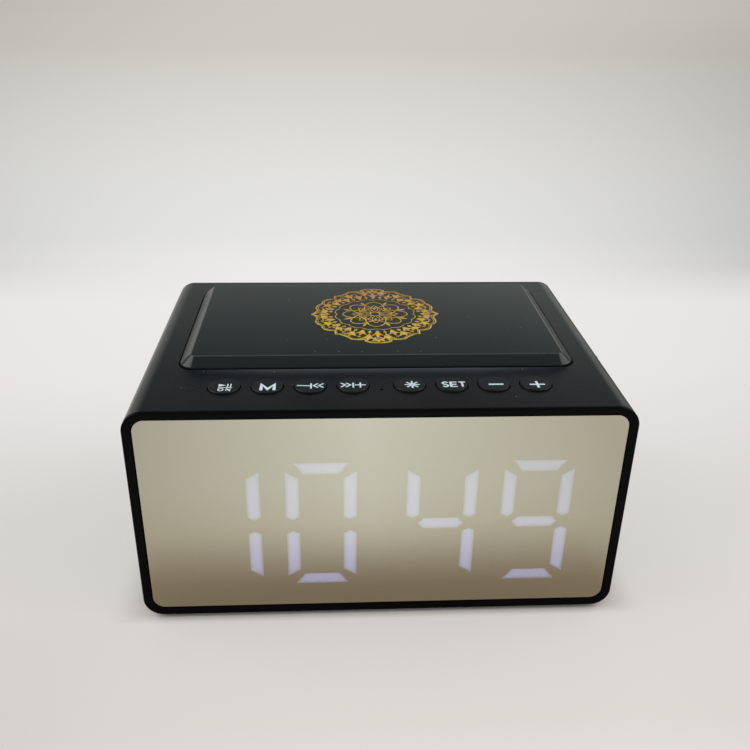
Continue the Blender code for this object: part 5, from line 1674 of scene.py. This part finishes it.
        # Glossy faces that lean to the right see a dim patch behind the clock.
        dim = add("MapRange", {}, across, *self.dim_across)
        for factor in (add("MapRange", {}, depth, *self.dim_depth), self.dim_share, in_gloss):
            dim = add("Math", TIMES, dim, factor)
        level = add("Math", TIMES, level, add("Math", MINUS, 1, dim))
        return add("Mix", COLOURS, level, BLACK, base)

    def shaded_for_gloss(self, add, painted, beside, ahead, in_gloss):
        """The floor's colour with the clock's own shade in front of it, which the half-mirror shows."""
        front = add("MapRange", {}, ahead, -MM, 0)
        far = SHELL_HIGH.x * self.side_reach_share
        shade = add("MapRange", SMOOTH, ahead, *self.shade_reach)
        for factor in (front, add("MapRange", {}, beside, far, SHELL_HIGH.x), in_gloss):
            shade = add("Math", TIMES, shade, factor)
        # Painted shade: in front of the clock, gloss sees the floor painted darker and warmer towards both
        # sides.
        sides = add("MapRange", {}, beside, 0, far, 0, self.side_share)
        for factor in (front, in_gloss):
            sides = add("Math", TIMES, sides, factor)
        painted = add("Mix", COLOURS, sides, painted, linear(self.side_paint))
        return add("Mix", COLOURS, shade, painted, linear(self.shade_paint))

    def world(self, scene):
        """An even light on every side, and a room that the camera and gloss see in its place."""
        world = bpy.data.worlds.new("studio_room")
        scene.world = world
        world.use_nodes = True
        tree = world.node_tree
        add = partial(add_node, tree)
        even = tree.nodes["Background"]
        feed(even.inputs["Color"], linear(self.even_light))
        feed(even.inputs["Strength"], self.even_strength)
        axes = add("SeparateXYZ", {}, add("TexCoord", {}).outputs["Generated"]).outputs
        walls = add("ValToRGB", {}, axes["Z"])
        set_stops(walls.color_ramp, self.room_stops)
        # The room is a little lighter to the right, and dim far out on that side.
        level = add("MapRange", {}, axes["X"], *self.room_rise)
        level = add("Math", TIMES, level, add("MapRange", {}, axes["X"], *self.room_fall))
        room = add("Background", {}, walls, level)
        both = add("MixShader", {}, seen_directly(tree), even, room)
        feed(tree.nodes["World Output"].inputs["Surface"], both)

    def lamp(self, name, place, power):
        """A square softbox that looks at the clock."""
        light = bpy.data.lights.new(name, "AREA")
        light.size = self.lamp_size
        light.energy = power
        made = bpy.data.objects.new(name, light)
        made.location = place
        aim = Vector((0, 0, MIDDLE_Z)) - Vector(place)
        made.rotation_euler = aim.to_track_quat("-Z", "Y").to_euler()
        bpy.context.scene.collection.objects.link(made)

    def camera(self, scene):
        """The camera at the photograph's place and angle."""
        forward = Vector((
            math.sin(CAMERA_YAW) * math.cos(CAMERA_PITCH),
            math.cos(CAMERA_YAW) * math.cos(CAMERA_PITCH),
            -math.sin(CAMERA_PITCH),
        ))
        level = Vector((math.cos(CAMERA_YAW), -math.sin(CAMERA_YAW), 0))
        upright = level.cross(forward)
        right = level * math.cos(CAMERA_ROLL) + upright * math.sin(CAMERA_ROLL)
        up = upright * math.cos(CAMERA_ROLL) - level * math.sin(CAMERA_ROLL)
        lens = bpy.data.cameras.new("photo_camera")
        lens.sensor_width = SENSOR_WIDTH
        lens.lens = LENS
        lens.clip_start = self.clip_start
        made = bpy.data.objects.new("photo_camera", lens)
        turn = Matrix((right, up, -forward)).transposed().to_4x4()
        made.matrix_world = Matrix.Translation(CAMERA_PLACE) @ turn
        scene.collection.objects.link(made)
        scene.camera = made


class CLOCK_PT_looks(Panel):
    """The clock's pieces, sizes and colours"""

    bl_idname = "CLOCK_PT_looks"
    bl_label = "Prayer clock"
    bl_space_type = "VIEW_3D"
    bl_region_type = "UI"
    bl_category = "Clock"

    def draw(self, context):
        for operator in OPERATORS:
            self.layout.operator(operator.bl_idname)
        for group in (context.scene.clock_sizes, context.scene.clock_colours):
            for name in group.bl_rna.properties.keys():
                if name not in ("rna_type", "name"):
                    self.layout.prop(group, name)


OPERATORS = (
    CLOCK_OT_inner_parts,
    CLOCK_OT_casing,
    CLOCK_OT_front_frame,
    CLOCK_OT_display,
    CLOCK_OT_raised_plate,
    CLOCK_OT_ornament,
    CLOCK_OT_keys,
    CLOCK_OT_side_button,
    CLOCK_OT_rear_cover,
    CLOCK_OT_speakers,
    CLOCK_OT_feet,
    CLOCK_OT_stage,
)
CLASSES = (ClockColours, ClockSizes, *OPERATORS, CLOCK_PT_looks)


def register():
    """Registers the classes and the scene's settings."""
    for each in CLASSES:
        bpy.utils.register_class(each)
    bpy.types.Scene.clock_colours = PointerProperty(type=ClockColours)
    bpy.types.Scene.clock_sizes = PointerProperty(type=ClockSizes)


def unregister():
    """Takes the settings and classes away again."""
    del bpy.types.Scene.clock_sizes
    del bpy.types.Scene.clock_colours
    for each in reversed(CLASSES):
        bpy.utils.unregister_class(each)


def main():
    """Builds every piece and the stage."""
    register()
    for operator in OPERATORS:
        group, name = operator.bl_idname.split(".")
        getattr(getattr(bpy.ops, group), name)()
    bpy.context.view_layer.update()


if __name__ == "__main__":
    main()
